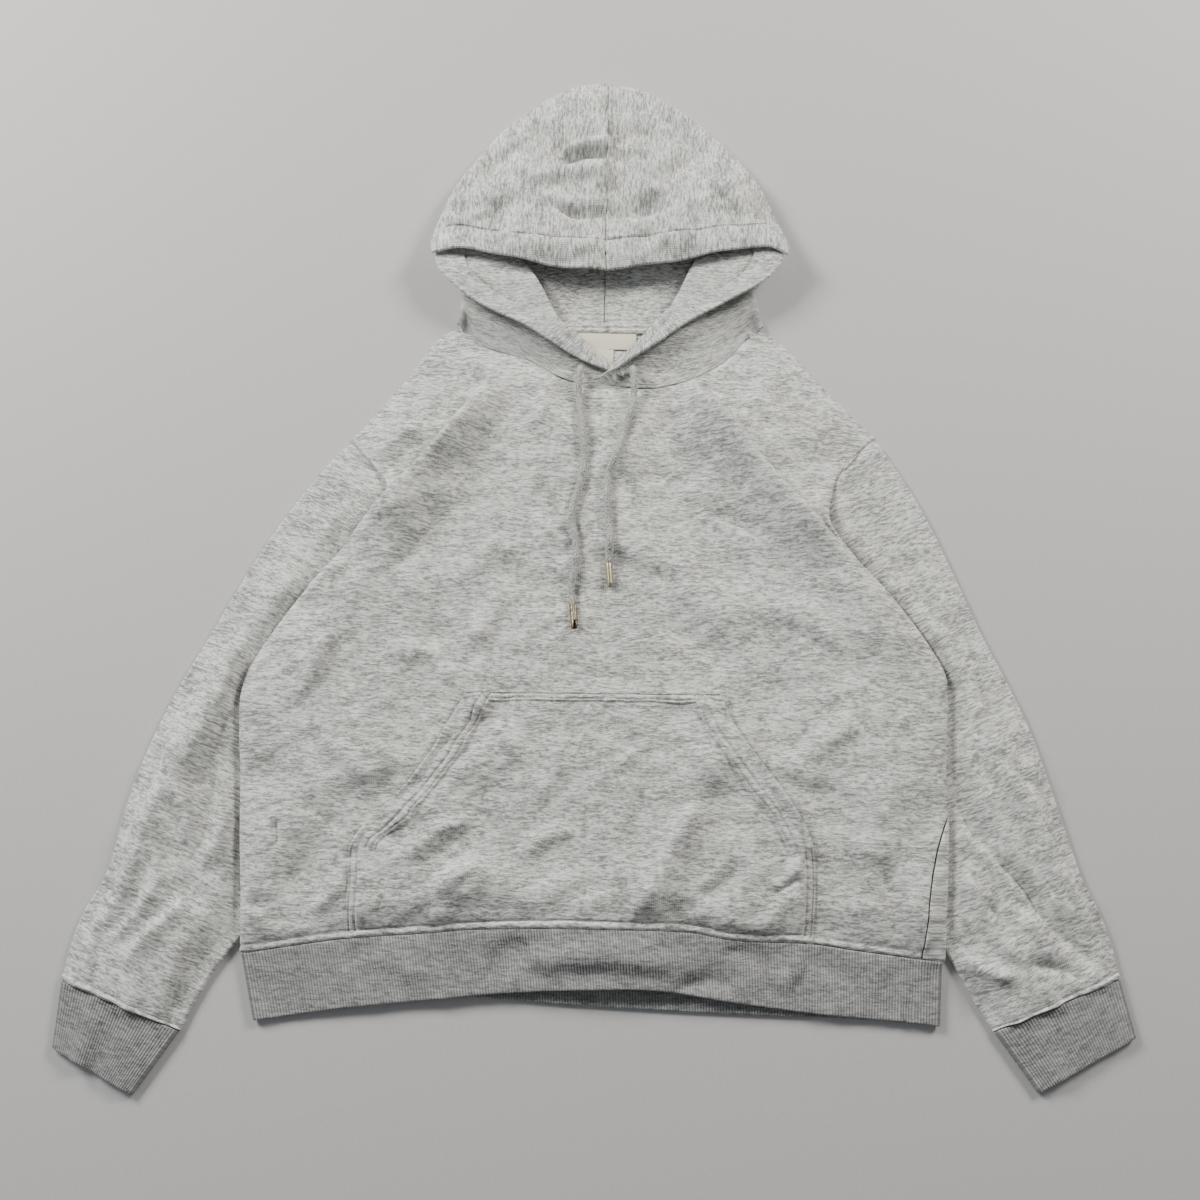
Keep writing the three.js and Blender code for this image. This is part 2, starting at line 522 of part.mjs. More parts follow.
// Kangaroo pocket, on the front panel's points moved out
const pocketSides = [
  { y: -216, left: -198, right: 178 }, { y: -190, left: -198, right: 179 },
  { y: -169, left: -198, right: 180 }, { y: -137, left: -197, right: 178 },
  { y: -112, left: -174, right: 167 }, { y: -90, left: -154, right: 152 },
  { y: -62, left: -134, right: 131 }, { y: -39, left: -122, right: 115 },
  { y: -14, left: -110, right: 103 },
];
function frontSurface(x, y) {
  let height = -Infinity;
  for (let j = 0; j < frontGrid.length - 1; j += 1) {
    for (let i = 6; i < frontGrid[0].length - 7; i += 1) {
      const corners = [frontGrid[j][i], frontGrid[j][i + 1], frontGrid[j + 1][i + 1], frontGrid[j + 1][i]];
      [[0, 1, 2], [0, 2, 3]].forEach((tri) => {
        const [p, q, r] = tri.map((k) => corners[k]);
        const area = (q.x - p.x) * (r.y - p.y) - (r.x - p.x) * (q.y - p.y);
        const s = ((x - p.x) * (r.y - p.y) - (r.x - p.x) * (y - p.y)) / area;
        const t = ((q.x - p.x) * (y - p.y) - (x - p.x) * (q.y - p.y)) / area;
        if (s >= -1e-6 && t >= -1e-6 && s + t <= 1 + 1e-6) {
          height = Math.max(height, p.z + s * (q.z - p.z) + t * (r.z - p.z));
        }
      });
    }
  }
  return height;
}
const pocketRows = [0, 0.1, 0.22, 0.34, 0.46, 0.58, 0.7, 0.8, 0.9, 1];
const pocketGrid = pocketRows.map((t) => steps(15).map((k) => {
  const place = k / 14;
  const level = lerp(-212, -14, t);
  const x = lerp(column(pocketSides, 'y', level, 'left'), column(pocketSides, 'y', level, 'right'), place);
  const y = lerp(hemSeamAt(x) + 1.2, -14 + 2 * place, t);
  return vector(x, y, frontSurface(x, y) + cloth + 1.5);
}));
addPiece('pocket', clothWall(pocketGrid, cloth), melange);

// Hood

// The silhouette, seen from above, from the corner of the mouth (place 0) to the crown (place 1), with the
// height of the fold along it, and the edge of the mouth
const leftDome = [
  { place: 0.00, x: -160, y: 398, z: 24 }, { place: 0.12, x: -155, y: 424, z: 17 },
  { place: 0.29, x: -144, y: 461, z: 11 }, { place: 0.45, x: -125, y: 494, z: 8 },
  { place: 0.62, x: -98, y: 530, z: 7 }, { place: 0.80, x: -61, y: 562, z: 6 },
  { place: 0.91, x: -29, y: 579, z: 6 }, { place: 1.00, x: 0, y: 584, z: 6 },
];
const rightDome = [
  { place: 0.00, x: 168, y: 400, z: 24 }, { place: 0.13, x: 157, y: 432, z: 17 },
  { place: 0.31, x: 142, y: 472, z: 11 }, { place: 0.50, x: 118, y: 506, z: 8 },
  { place: 0.70, x: 79, y: 545, z: 7 }, { place: 0.88, x: 35, y: 574, z: 6 },
  { place: 1.00, x: 0, y: 584, z: 6 },
];
const leftMouth = [
  { place: 0, x: -158, y: 387, z: 27.5 }, { place: 0.17, x: -131, y: 391, z: 28.5 },
  { place: 0.37, x: -99, y: 387, z: 29 }, { place: 0.7, x: -46, y: 378, z: 29.5 },
  { place: 1, x: 0, y: 376, z: 30 },
];
const rightMouth = [
  { place: 0, x: 166, y: 391, z: 27.5 }, { place: 0.12, x: 147, y: 398, z: 28.5 },
  { place: 0.31, x: 115, y: 395, z: 29 }, { place: 0.62, x: 62, y: 384, z: 29.5 },
  { place: 1, x: 0, y: 376, z: 30 },
];
const hoodFolds = [
  { x0: 4, y0: 560, x1: -8, y1: 470, wide: 12, high: 2.5 },
  { x0: -60, y0: 520, x1: -25, y1: 440, wide: 14, high: -2 },
  { x0: 70, y0: 505, x1: 40, y1: 440, wide: 14, high: -2 },
];
const neckPoint = { left: { x: -127, y: 327 }, right: { x: 136, y: 329 } };

// The bag of the hood, one half: its under layer runs from the back of the neck to the silhouette, and its
// upper layer back to the mouth. Columns run from the side to the centre seam.
const underShares = [0, 0.14, 0.3, 0.46, 0.62, 0.76, 0.87, 0.94, 0.975, 0.992];
const upperShares = [0, 0.012, 0.035, 0.09, 0.2, 0.36, 0.54, 0.72, 0.87, 1];
function hoodBag(dome, mouth, neckCorner, way) {
  const places = [0, 0.07, 0.15, 0.25, 0.36, 0.48, 0.6, 0.71, 0.82, 0.92, 1];
  const curve = (rows, place) => vector(...['x', 'y', 'z'].map((key) => column(rows, 'place', place, key)));
  const seamX = way * seamGap;
  const at = (layer, share, place) => {
    const edge = curve(dome, place);
    const reach = 6 + (edge.z - 6) * 1.3;
    const from = layer === 'under'
      ? vector(lerp(neckCorner.x, 0, place), lerp(neckCorner.y, 327.6, ease(place * 2)), onTable)
      : curve(mouth, place);
    const amount = layer === 'under' ? share : 1 - share;
    const point = from.clone().lerp(edge, amount);
    const near = clamp01(Math.hypot(edge.x - point.x, edge.y - point.y) / reach);
    const round = Math.sqrt(1 - (1 - near) ** 2);
    if (layer === 'under') {
      point.x -= way * 13 * Math.sin(Math.PI * share) * (1 - place) ** 4;
      point.z = lerp(edge.z, onTable, round);
    } else {
      const arch = 1 - (1 - share) ** 1.6;
      point.z = edge.z + 4 * round + (from.z - edge.z - 4) * arch;
      point.z += foldHeight(hoodFolds, point.x, point.y) * ease(share / 0.15) * ease((1 - share) / 0.3);
    }
    point.x = lerp(point.x, seamX, ease((place - 0.92) / 0.08));
    return point;
  };
  const row = (layer, share) => {
    const points = places.map((place) => at(layer, share, place));
    return way < 0 ? points : points.reverse();
  };
  return [...underShares.map((s) => row('under', s)), ...upperShares.map((s) => row('upper', s))];
}

// The front flap of the hood, one half: from the free edge that bounds the V, inner face up, to the roll
// line, back underneath to the side and on to the under layer of the bag
const leftFlap = [
  { edge: [36, 270, 6.6], roll: [26, 271, 6], side: [-135, 328, 4.2] },
  { edge: [8, 281, 7.4], roll: [2, 293, 6.8], side: [-133, 334, 4.2] },
  { edge: [-18, 290, 12], roll: [-14, 304, 10.5], side: [-132, 341, 4.2] },
  { edge: [-46, 305, 17], roll: [-28, 318, 14.5], side: [-131, 348, 4.2] },
  { edge: [-72, 320, 21], roll: [-41, 329, 15.5], side: [-131, 356, 4.2] },
  { edge: [-102, 334, 22.5], roll: [-50, 344, 16], side: [-132, 363, 4.4] },
  { edge: [-129, 350, 23.5], roll: [-58, 360, 16], side: [-136, 371, 5] },
  { edge: [-148, 367, 24.5], roll: [-67, 375, 16], side: [-143, 379, 6] },
  { edge: [-155, 381, 24], roll: [-78, 388, 15.5], side: [-149, 387, 7] },
  { edge: [-155, 394, 21.5], roll: [-95, 400, 14.5], side: [-152, 398, 8] },
  { edge: [-150, 408, 18], roll: [-115, 412, 13], side: [-149, 410, 8] },
];
const rightFlap = [
  { edge: [-9, 272, 14], roll: [1, 273, 13.2], side: [146, 330, 4.2] },
  { edge: [11, 281, 16], roll: [20, 295, 14.3], side: [144, 335, 4.2] },
  { edge: [28, 292, 18.5], roll: [33, 309, 15], side: [142, 341, 4.2] },
  { edge: [50, 306, 20], roll: [46, 325, 15.5], side: [141, 348, 4.2] },
  { edge: [78, 327, 21.5], roll: [57, 338, 16], side: [139, 356, 4.2] },
  { edge: [110, 345, 23], roll: [66, 353, 16], side: [138, 365, 4.4] },
  { edge: [142, 364, 24], roll: [73, 368, 16], side: [143, 374, 5] },
  { edge: [156, 377, 24.5], roll: [79, 382, 16], side: [150, 383, 6] },
  { edge: [162, 388, 24], roll: [88, 395, 15.5], side: [156, 392, 7] },
  { edge: [162, 400, 21.5], roll: [105, 407, 14.5], side: [159, 403, 8] },
  { edge: [157, 412, 18], roll: [125, 417, 13], side: [156, 415, 8] },
];
const neckLine = frontGrid.at(-1);
function neckSeamAt(x) {
  const k = Math.max(1, neckLine.findIndex((p) => p.x > x));
  const [low, high] = [neckLine[k - 1], neckLine[k]];
  return lerp(low.y, high.y, (x - low.x) / (high.x - low.x));
}
function hoodFlap(rows, way) {
  const first = { roll: vector(...rows[0].roll).setZ(0), side: vector(...rows[0].side).setZ(0) };
  return rows.map((row, k) => {
    const sewn = Math.max(0, 1 - k / 5);
    const [edge, roll, side] = [vector(...row.edge), vector(...row.roll), vector(...row.side)];
    const outward = side.clone().sub(roll).setZ(0).normalize();
    const toEdge = edge.clone().sub(roll).setZ(0).normalize();
    const from = (point, course, distance, z) => point.clone().addScaledVector(course, distance).setZ(z);
    const width = Math.hypot(edge.x - roll.x, edge.y - roll.y);
    const near = Math.min(6, width * 0.4);
    const top = from(roll, toEdge, near, roll.z + 1.5);
    const below = from(roll, outward, 6, roll.z - 2.2);
    const sideTop = from(side, outward, -7, side.z + 1.7);
    const sideBelow = vector(side.x - 8 * way, side.y + 2, onTable + 0.05);
    const tail = vector(side.x - 24 * way, side.y + 4, onTable + 0.05);
    // The first row follows the neck seam, and the rows after it less and less
    const stretch = steps(8).map((j) => {
      const q = j / 7;
      const seamChord = first.roll.clone().lerp(first.side, lerp(0.04, 0.95, q));
      const point = below.clone().lerp(sideTop, q);
      point.y += sewn * (neckSeamAt(seamChord.x) + 1.6 - seamChord.y);
      point.z += sewn * 2 * Math.sin(Math.PI * q);
      return point;
    });
    const points = [
      edge, edge.clone().lerp(top, 0.5), top, from(roll, toEdge, near * 0.15, roll.z + 0.9), roll,
      from(roll, outward, 1, roll.z - 1.2), ...stretch, from(side, outward, -1.2, side.z + 0.9), side,
      from(side, outward, -1.2, lerp(side.z, onTable, 0.55)), sideBelow, tail,
    ];
    return way < 0 ? points : points.reverse();
  });
}
[
  ['hood_right', leftDome, leftMouth, neckPoint.left, leftFlap, -1],
  ['hood_left', rightDome, rightMouth, neckPoint.right, rightFlap, 1],
].forEach(([name, dome, mouth, corner, flap, way]) => {
  const bag = hoodBag(dome, mouth, corner, way);
  const faced = (j) => (j > bag.length - 3 ? 0.9 : 0);
  const flapGrid = hoodFlap(flap, way);
  const facedFlap = (j, i) => ((way < 0 ? i : flapGrid[0].length - 1 - i) < 2 ? 0.9 : 0);
  const geometry = joined(
    clothWall(bag, cloth, { raised: faced }),
    clothWall(flapGrid, cloth, { raised: facedFlap }),
  );
  addPiece(name, geometry, melange);
});

// Tape over the back neck seam, with a bare label and a bare size tag below it
function strip(width, height, thick, x, y, z) {
  return new THREE.BoxGeometry(width, height, thick).translate(x, y, z + thick / 2);
}
const neckInside = cloth + 0.4;
addPiece('neck_tape', strip(tape.length, tape.width, tape.thick, 4, 327, neckInside), cordCotton);
addPiece('neck_label', strip(label.width, label.height, label.thick, 1, 315, neckInside), labelCloth);
addPiece('size_tag', strip(sizeTag.width, sizeTag.height, sizeTag.thick, -1, 301, neckInside), labelCloth);

// Drawcords: they come out from under the free edges of the hood and lie on the front panel
const cords = {
  right: [
    [-20, 286], [-22, 271], [-20, 245], [-17, 219], [-15, 199], [-17, 177], [-22, 159], [-25, 142],
    [-21, 120], [-21, 96], [-24, 77], [-22, 64],
  ],
  left: [
    [26, 286], [28, 272], [27, 246], [21, 225], [14, 200], [7, 182], [5, 164], [7, 145], [9, 120], [8, 99],
  ],
};
const tips = { right: [-20, 42], left: [10, 77] };
Object.entries(cords).forEach(([side, places]) => {
  const surface = (x, y) => (y > 262 ? Math.max(frontSurface(x, 262), 8.2) : frontSurface(x, y));
  const lifted = ([x, y], more) => vector(x, y, surface(x, y) + cloth / 2 + more);
  const hood = (y) => 3.1 * ease((y - 250) / 20);
  const points = places.map((p) => lifted(p, cordRadius + 0.6 + hood(p[1])));
  const path = new THREE.CatmullRomCurve3(points);
  const round = new THREE.Shape(steps(8).map((k) => {
    const angle = (k / 8) * 2 * Math.PI;
    return new THREE.Vector2(cordRadius * Math.cos(angle), cordRadius * Math.sin(angle));
  }));
  const cord = new THREE.ExtrudeGeometry(round, { steps: 32, extrudePath: path, bevelEnabled: false });
  addPiece(`drawcord_${side}`, cord, cordCotton);
  const end = points.at(-1);
  const far = lifted(tips[side], aglet.radius + 0.4);
  const direction = far.clone().sub(end).normalize();
  const centre = end.clone().addScaledVector(direction, aglet.length / 2 + seamGap);
  const tip = new THREE.CylinderGeometry(aglet.radius, aglet.radius * 0.92, aglet.length, 12);
  tip.applyQuaternion(new THREE.Quaternion().setFromUnitVectors(vector(0, -1, 0), direction));
  tip.translate(centre.x, centre.y, centre.z);
  addPiece(`aglet_${side}`, tip, tipMetal);
});

export default hoodie;
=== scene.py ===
import json
import math

import bpy
import numpy as np
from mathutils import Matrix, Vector
from mathutils.bvhtree import BVHTree

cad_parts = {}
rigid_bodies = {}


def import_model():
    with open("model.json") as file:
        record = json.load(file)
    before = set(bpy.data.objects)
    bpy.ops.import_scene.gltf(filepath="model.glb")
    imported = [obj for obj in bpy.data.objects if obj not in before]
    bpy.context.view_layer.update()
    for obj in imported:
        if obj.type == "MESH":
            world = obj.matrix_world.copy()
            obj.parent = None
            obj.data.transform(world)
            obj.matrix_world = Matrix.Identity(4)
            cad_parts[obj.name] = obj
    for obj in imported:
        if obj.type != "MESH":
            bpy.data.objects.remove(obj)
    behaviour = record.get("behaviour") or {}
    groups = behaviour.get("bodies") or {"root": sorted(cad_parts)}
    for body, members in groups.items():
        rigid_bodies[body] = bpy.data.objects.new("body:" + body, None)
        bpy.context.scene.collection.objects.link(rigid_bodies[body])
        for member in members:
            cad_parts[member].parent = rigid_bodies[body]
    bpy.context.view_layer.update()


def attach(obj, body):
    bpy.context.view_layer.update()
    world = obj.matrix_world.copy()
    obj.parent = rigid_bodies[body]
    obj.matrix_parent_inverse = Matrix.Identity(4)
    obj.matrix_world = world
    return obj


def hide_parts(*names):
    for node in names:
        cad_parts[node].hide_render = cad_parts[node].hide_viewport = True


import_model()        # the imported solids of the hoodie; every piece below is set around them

# A pullover hoodie in grey melange sweatshirt cloth, laid flat. Tables and shapes are in millimetres.
# +x is the wearer's left, +y runs from the hem to the hood, z is up from the surface it lies on.
mm = 0.001


# Camera, above the garment and a little towards the hem
cameraSet = {"lens": 35.4, "tilt": 14.0, "turn": 1.11, "lookX": 1.2, "lookY": 70.5, "distance": 1025.0}


def placeCamera(c):
    tilt, turn = math.radians(c["tilt"]), math.radians(c["turn"])
    back = c["distance"] * math.sin(tilt)
    data = bpy.data.cameras.new("camera")
    data.lens, data.sensor_fit, data.clip_start = c["lens"], "HORIZONTAL", 0.01
    camera = bpy.data.objects.new("camera", data)
    camera.location = (
        (c["lookX"] + back * math.sin(turn)) * mm,
        (c["lookY"] - back * math.cos(turn)) * mm,
        c["distance"] * math.cos(tilt) * mm,
    )
    camera.rotation_euler = (tilt, 0, turn)
    bpy.context.scene.collection.objects.link(camera)
    bpy.context.scene.camera = camera


placeCamera(cameraSet)
print("camera placed")


# Small helpers on whole arrays
join, steps = np.concatenate, np.linspace


def table(columns, *rows):
    return dict(zip(columns.split(), np.array(rows, float).T))


def mix(a, b, t):        # straight from a to b
    return a + (b - a) * t


def ease(t):             # smooth step, 3 t squared less 2 t cubed
    t = np.clip(t, 0, 1)
    return t * t * (3 - 2 * t)


def between(t, wide):    # 0 at both ends of 0 to 1, and 1 from wide on
    return ease(t / wide) * ease((1 - t) / wide)


def bell(d, wide):       # 1 where d is 0, dying away over wide on both sides
    return np.exp(-((d / wide) ** 2))


def rounded(t):          # a quarter of a circle, upright at 0 and level at 1
    return np.sqrt(1 - (1 - np.clip(t, 0, 1)) ** 2)


def stacked(*parts):     # arrays side by side in a new last axis
    return np.stack(np.broadcast_arrays(*parts), axis=-1)


# Smooth line through one column of a table: a cubic between rows, with the slope of the rows on each side
def curve(rows, place, key, at):
    x, y = rows[place], rows[key]
    slope = np.empty_like(y)
    slope[1:-1] = (y[2:] - y[:-2]) / (x[2:] - x[:-2])
    slope[0], slope[-1] = (y[1] - y[0]) / (x[1] - x[0]), (y[-1] - y[-2]) / (x[-1] - x[-2])
    k = np.clip(np.searchsorted(x, at, side="right") - 1, 0, len(x) - 2)
    span = x[k + 1] - x[k]
    t = np.clip((at - x[k]) / span, 0, 1)
    rise = (2 * t**3 - 3 * t**2 + 1) * y[k] + (3 * t**2 - 2 * t**3) * y[k + 1]
    return rise + span * ((t**3 - 2 * t**2 + t) * slope[k] + (t**3 - t**2) * slope[k + 1])


# Long soft folds: a bell across the line from end to end, round at both ends
def foldHeight(folds, x, y):
    height = 0.0 * x
    for x0, y0, x1, y1, wide, high in zip(*folds.values()):
        dx, dy = x1 - x0, y1 - y0
        near = np.clip(((x - x0) * dx + (y - y0) * dy) / (dx * dx + dy * dy), 0, 1)
        height = height + high * bell(np.hypot(x - x0 - near * dx, y - y0 - near * dy), wide)
    return height


# Creases: a bell across a bowed line, steeper on one side (lean), that dies away past both ends
def creaseHeight(creases, x, y):
    height = 0.0 * x
    for x0, y0, x1, y1, bow, wide, high, lean in zip(*creases.values()):
        dx, dy = x1 - x0, y1 - y0
        length = math.hypot(dx, dy)
        t = ((x - x0) * dx + (y - y0) * dy) / length**2
        away = ((y - y0) * dx - (x - x0) * dy) / length - bow * (1 - (2 * np.clip(t, 0, 1) - 1) ** 2)
        side = wide * (1 + lean * np.tanh(2 * away / wide))
        fade = ease((t + 0.15) / 0.4) * ease((1.15 - t) / 0.4)
        height = height + high * np.exp(-np.abs(away / side) ** 1.7) * fade
    return height


# Unevenness of cloth that has been worn: random heights on a lattice, blended smoothly, turned and stretched
def unevenness(x, y, size, seed, stretch=1.0, turn=0.0):
    lattice = np.random.default_rng(seed).uniform(-1, 1, (64, 64))
    c, s = math.cos(turn), math.sin(turn)
    u, v = (x * c + y * s) / size / stretch + 31.3, (y * c - x * s) / size + 17.7
    i, j = np.floor(u).astype(int), np.floor(v).astype(int)
    fu, fv = ease(u - i), ease(v - j)
    low = mix(lattice[i % 64, j % 64], lattice[(i + 1) % 64, j % 64], fu)
    high = mix(lattice[i % 64, (j + 1) % 64], lattice[(i + 1) % 64, (j + 1) % 64], fu)
    return mix(low, high, fv)


# Broad swells, soft creases in two directions where the unevenness crosses zero, and small ripples
def worn(x, y, seed):
    broad = 2.6 * unevenness(x, y, 46, seed, 1.8, 0.7)
    one = 1.0 - 2.2 * np.abs(unevenness(x, y, 22, seed + 1, 3.6, -0.85))
    two = 1.0 - 2.2 * np.abs(unevenness(x, y, 17, seed + 3, 3.2, 0.6))
    return broad + 1.1 * one + 0.9 * two + 0.5 * unevenness(x, y, 6.5, seed + 2, 1.6, 0.2)


def sleeveWear(x, y):    # long soft folds down the length of a sleeve
    lean = math.pi / 2 + math.copysign(0.37, x.mean())
    long = 3.4 * unevenness(x, y, 17, 41, 4.5, lean) + 1.9 * unevenness(x, y, 9, 42, 3.6, lean + 0.5)
    return long + 0.5 * unevenness(x, y, 6.5, 43, 1.6, 0.2)


# One mesh object from points in millimetres, faces of four and their UV places, riding the one body
def meshPiece(name, points, faces, faceUv, material, slot, replaces=()):
    mesh = bpy.data.meshes.new(name)
    mesh.vertices.add(len(points))
    mesh.vertices.foreach_set("co", (points * mm).astype(np.float32).ravel())
    mesh.loops.add(faces.size)
    mesh.loops.foreach_set("vertex_index", faces.astype(np.int32).ravel())
    mesh.polygons.add(len(faces))
    mesh.polygons.foreach_set("loop_start", np.arange(0, faces.size, 4, dtype=np.int32))
    mesh.polygons.foreach_set("use_smooth", np.ones(len(faces), bool))
    layer = mesh.uv_layers.new(name="UVMap")
    layer.data.foreach_set("uv", (faceUv * mm).astype(np.float32).ravel())
    mesh.update(calc_edges=True)
    mesh.validate()
    mesh.materials.append(material)
    piece = bpy.data.objects.new(name, mesh)
    bpy.context.scene.collection.objects.link(piece)
    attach(piece, "root")
    if replaces:
        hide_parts(*replaces)
    return piece


# Three more rows close to each end of a grid, so that a cut edge can round over
def borderRows(values):
    shares = np.array([0.05, 0.16, 0.36])[:, None, None]
    first = values[:1] + (values[1:2] - values[:1]) * shares
    last = values[-1:] + (values[-2:-1] - values[-1:]) * shares[::-1]
    return join([values[:1], first, values[1:-1], last, values[-1:]])


# Distance along one axis of a grid from the nearer of its two ends
def fromEnds(points, axis):
    step = np.linalg.norm(np.diff(points, axis=axis), axis=2)
    run = np.cumsum(np.insert(step, 0, 0, axis=axis), axis=axis)
    return np.minimum(run, np.take(run, [-1], axis=axis) - run)


# A wall of cloth around a grid of middle points. The outer face lies half the thickness plus raised along the
# normal (across x along), the inner face half of it the other way, and both close in at the cut edges.
def clothWall(middle, thick, uv, raised=0.0, raisedInside=0.0, closed=False):
    count = middle.shape[1]
    packed = stacked(*np.moveaxis(middle, 2, 0), raised, raisedInside)
    if closed:
        packed = join([packed, packed[:, :1]], axis=1)
    packed = borderRows(join([packed, uv], axis=2))
    if not closed:
        packed = np.swapaxes(borderRows(np.swapaxes(packed, 0, 1)), 0, 1)
    corner = packed[..., 5:]
    body = packed[:, :count] if closed else packed
    points = body[..., :3]
    across = np.roll(points, -1, 1) - np.roll(points, 1, 1)
    if not closed:
        across[:, 0], across[:, -1] = points[:, 1] - points[:, 0], points[:, -1] - points[:, -2]
    along = np.empty_like(points)
    along[1:-1] = points[2:] - points[:-2]
    along[0], along[-1] = points[1] - points[0], points[-1] - points[-2]
    normal = np.cross(across, along)
    normal /= np.linalg.norm(normal, axis=2, keepdims=True) + 1e-12
    edge = fromEnds(points, 0)
    if not closed:
        edge = np.minimum(edge, fromEnds(points, 1))
    closing = rounded(edge / (0.6 * thick))
    half = thick / 2 * np.maximum(closing, 0.12)
    outer = points + normal * (half + body[..., 3] * closing)[..., None]
    inner = points - normal * (half + body[..., 4] * closing)[..., None]

    size = points[..., 0].size
    index = np.arange(size).reshape(points.shape[:2])
    a = (index if closed else index[:, :-1], corner[:, :-1])
    b = (np.roll(index, -1, 1) if closed else index[:, 1:], corner[:, 1:])
    faces, places = [], []

    # Faces of four corners, each with its grid, the part of the grid and its offset in the list of points
    def cell(*corners):
        faces.append(stacked(*(which[0][part] + on for which, part, on in corners)).reshape(-1, 4))
        places.append(np.stack([which[1][part] for which, part, on in corners], axis=-2).reshape(-1, 4, 2))
    low, high = slice(None, -1), slice(1, None)
    cell((a, low, 0), (b, low, 0), (b, high, 0), (a, high, 0))
    cell((a, low, size), (a, high, size), (b, high, size), (b, low, size))
    cell((b, 0, 0), (a, 0, 0), (a, 0, size), (b, 0, size))
    cell((a, -1, 0), (b, -1, 0), (b, -1, size), (a, -1, size))
    if not closed:
        left, right = (index[:, 0], corner[:, 0]), (index[:, -1], corner[:, -1])
        cell((right, high, 0), (right, low, 0), (right, low, size), (right, high, size))
        cell((left, low, 0), (left, high, 0), (left, high, size), (left, low, size))
    return join([outer.reshape(-1, 3), inner.reshape(-1, 3)]), join(faces), join(places)


# Several walls of one piece of cloth in one mesh
def together(*walls):
    starts = np.cumsum([0] + [len(w[0]) for w in walls])
    points = join([w[0] for w in walls])
    faces = join([w[1] + start for w, start in zip(walls, starts)])
    return points, faces, join([w[2] for w in walls])


# Materials. feed puts a constant or another node's output into a socket, calc is one Math node, spread a
# smooth step between two values, and stretched divides a place by the size in millimetres of a pattern
def nodeGroup(name, inputs, outputs):
    group = bpy.data.node_groups.new(name, "ShaderNodeTree")
    for kind, label, value in inputs:
        socket = group.interface.new_socket(name=label, in_out="INPUT", socket_type=kind)
        if value is not None:
            socket.default_value = value
    for kind, label in outputs:
        group.interface.new_socket(name=label, in_out="OUTPUT", socket_type=kind)
    return group, group.nodes.new("NodeGroupInput"), group.nodes.new("NodeGroupOutput")


def feed(tree, value, socket):
    if isinstance(value, bpy.types.NodeSocket):
        tree.links.new(value, socket)
    else:
        socket.default_value = value


def calc(tree, operation, *values, clamp=False):
    node = tree.nodes.new("ShaderNodeMath")
    node.operation, node.use_clamp = operation, clamp
    for value, socket in zip(values, node.inputs):
        feed(tree, value, socket)
    return node.outputs[0]


def blendColor(tree, share, dark, light):
    node = tree.nodes.new("ShaderNodeMix")
    node.data_type = "RGBA"
    for value, label in ((share, "Factor"), (dark, "A"), (light, "B")):
        sockets = [s for s in node.inputs if s.name == label and s.enabled]
        feed(tree, value, sockets[-1])
    return [s for s in node.outputs if s.enabled][0]


def noise(tree, vector, scale, detail, rough):
    node = tree.nodes.new("ShaderNodeTexNoise")
    tree.links.new(vector, node.inputs["Vector"])
    for label, value in (("Scale", scale), ("Detail", detail), ("Roughness", rough)):
        node.inputs[label].default_value = value
    return node.outputs["Fac"]


def stretched(tree, vector, x, y):
    node = tree.nodes.new("ShaderNodeVectorMath")
    node.operation = "MULTIPLY"
    tree.links.new(vector, node.inputs[0])
    node.inputs[1].default_value = (1 / (x * mm), 1 / (y * mm), 1)
    return node.outputs[0]


def spread(tree, value, low, high):
    node = tree.nodes.new("ShaderNodeMapRange")
    node.interpolation_type = "SMOOTHSTEP"
    for label, at in (("Value", value), ("From Min", low), ("From Max", high)):
        feed(tree, at, node.inputs[label])
    return node.outputs[0]


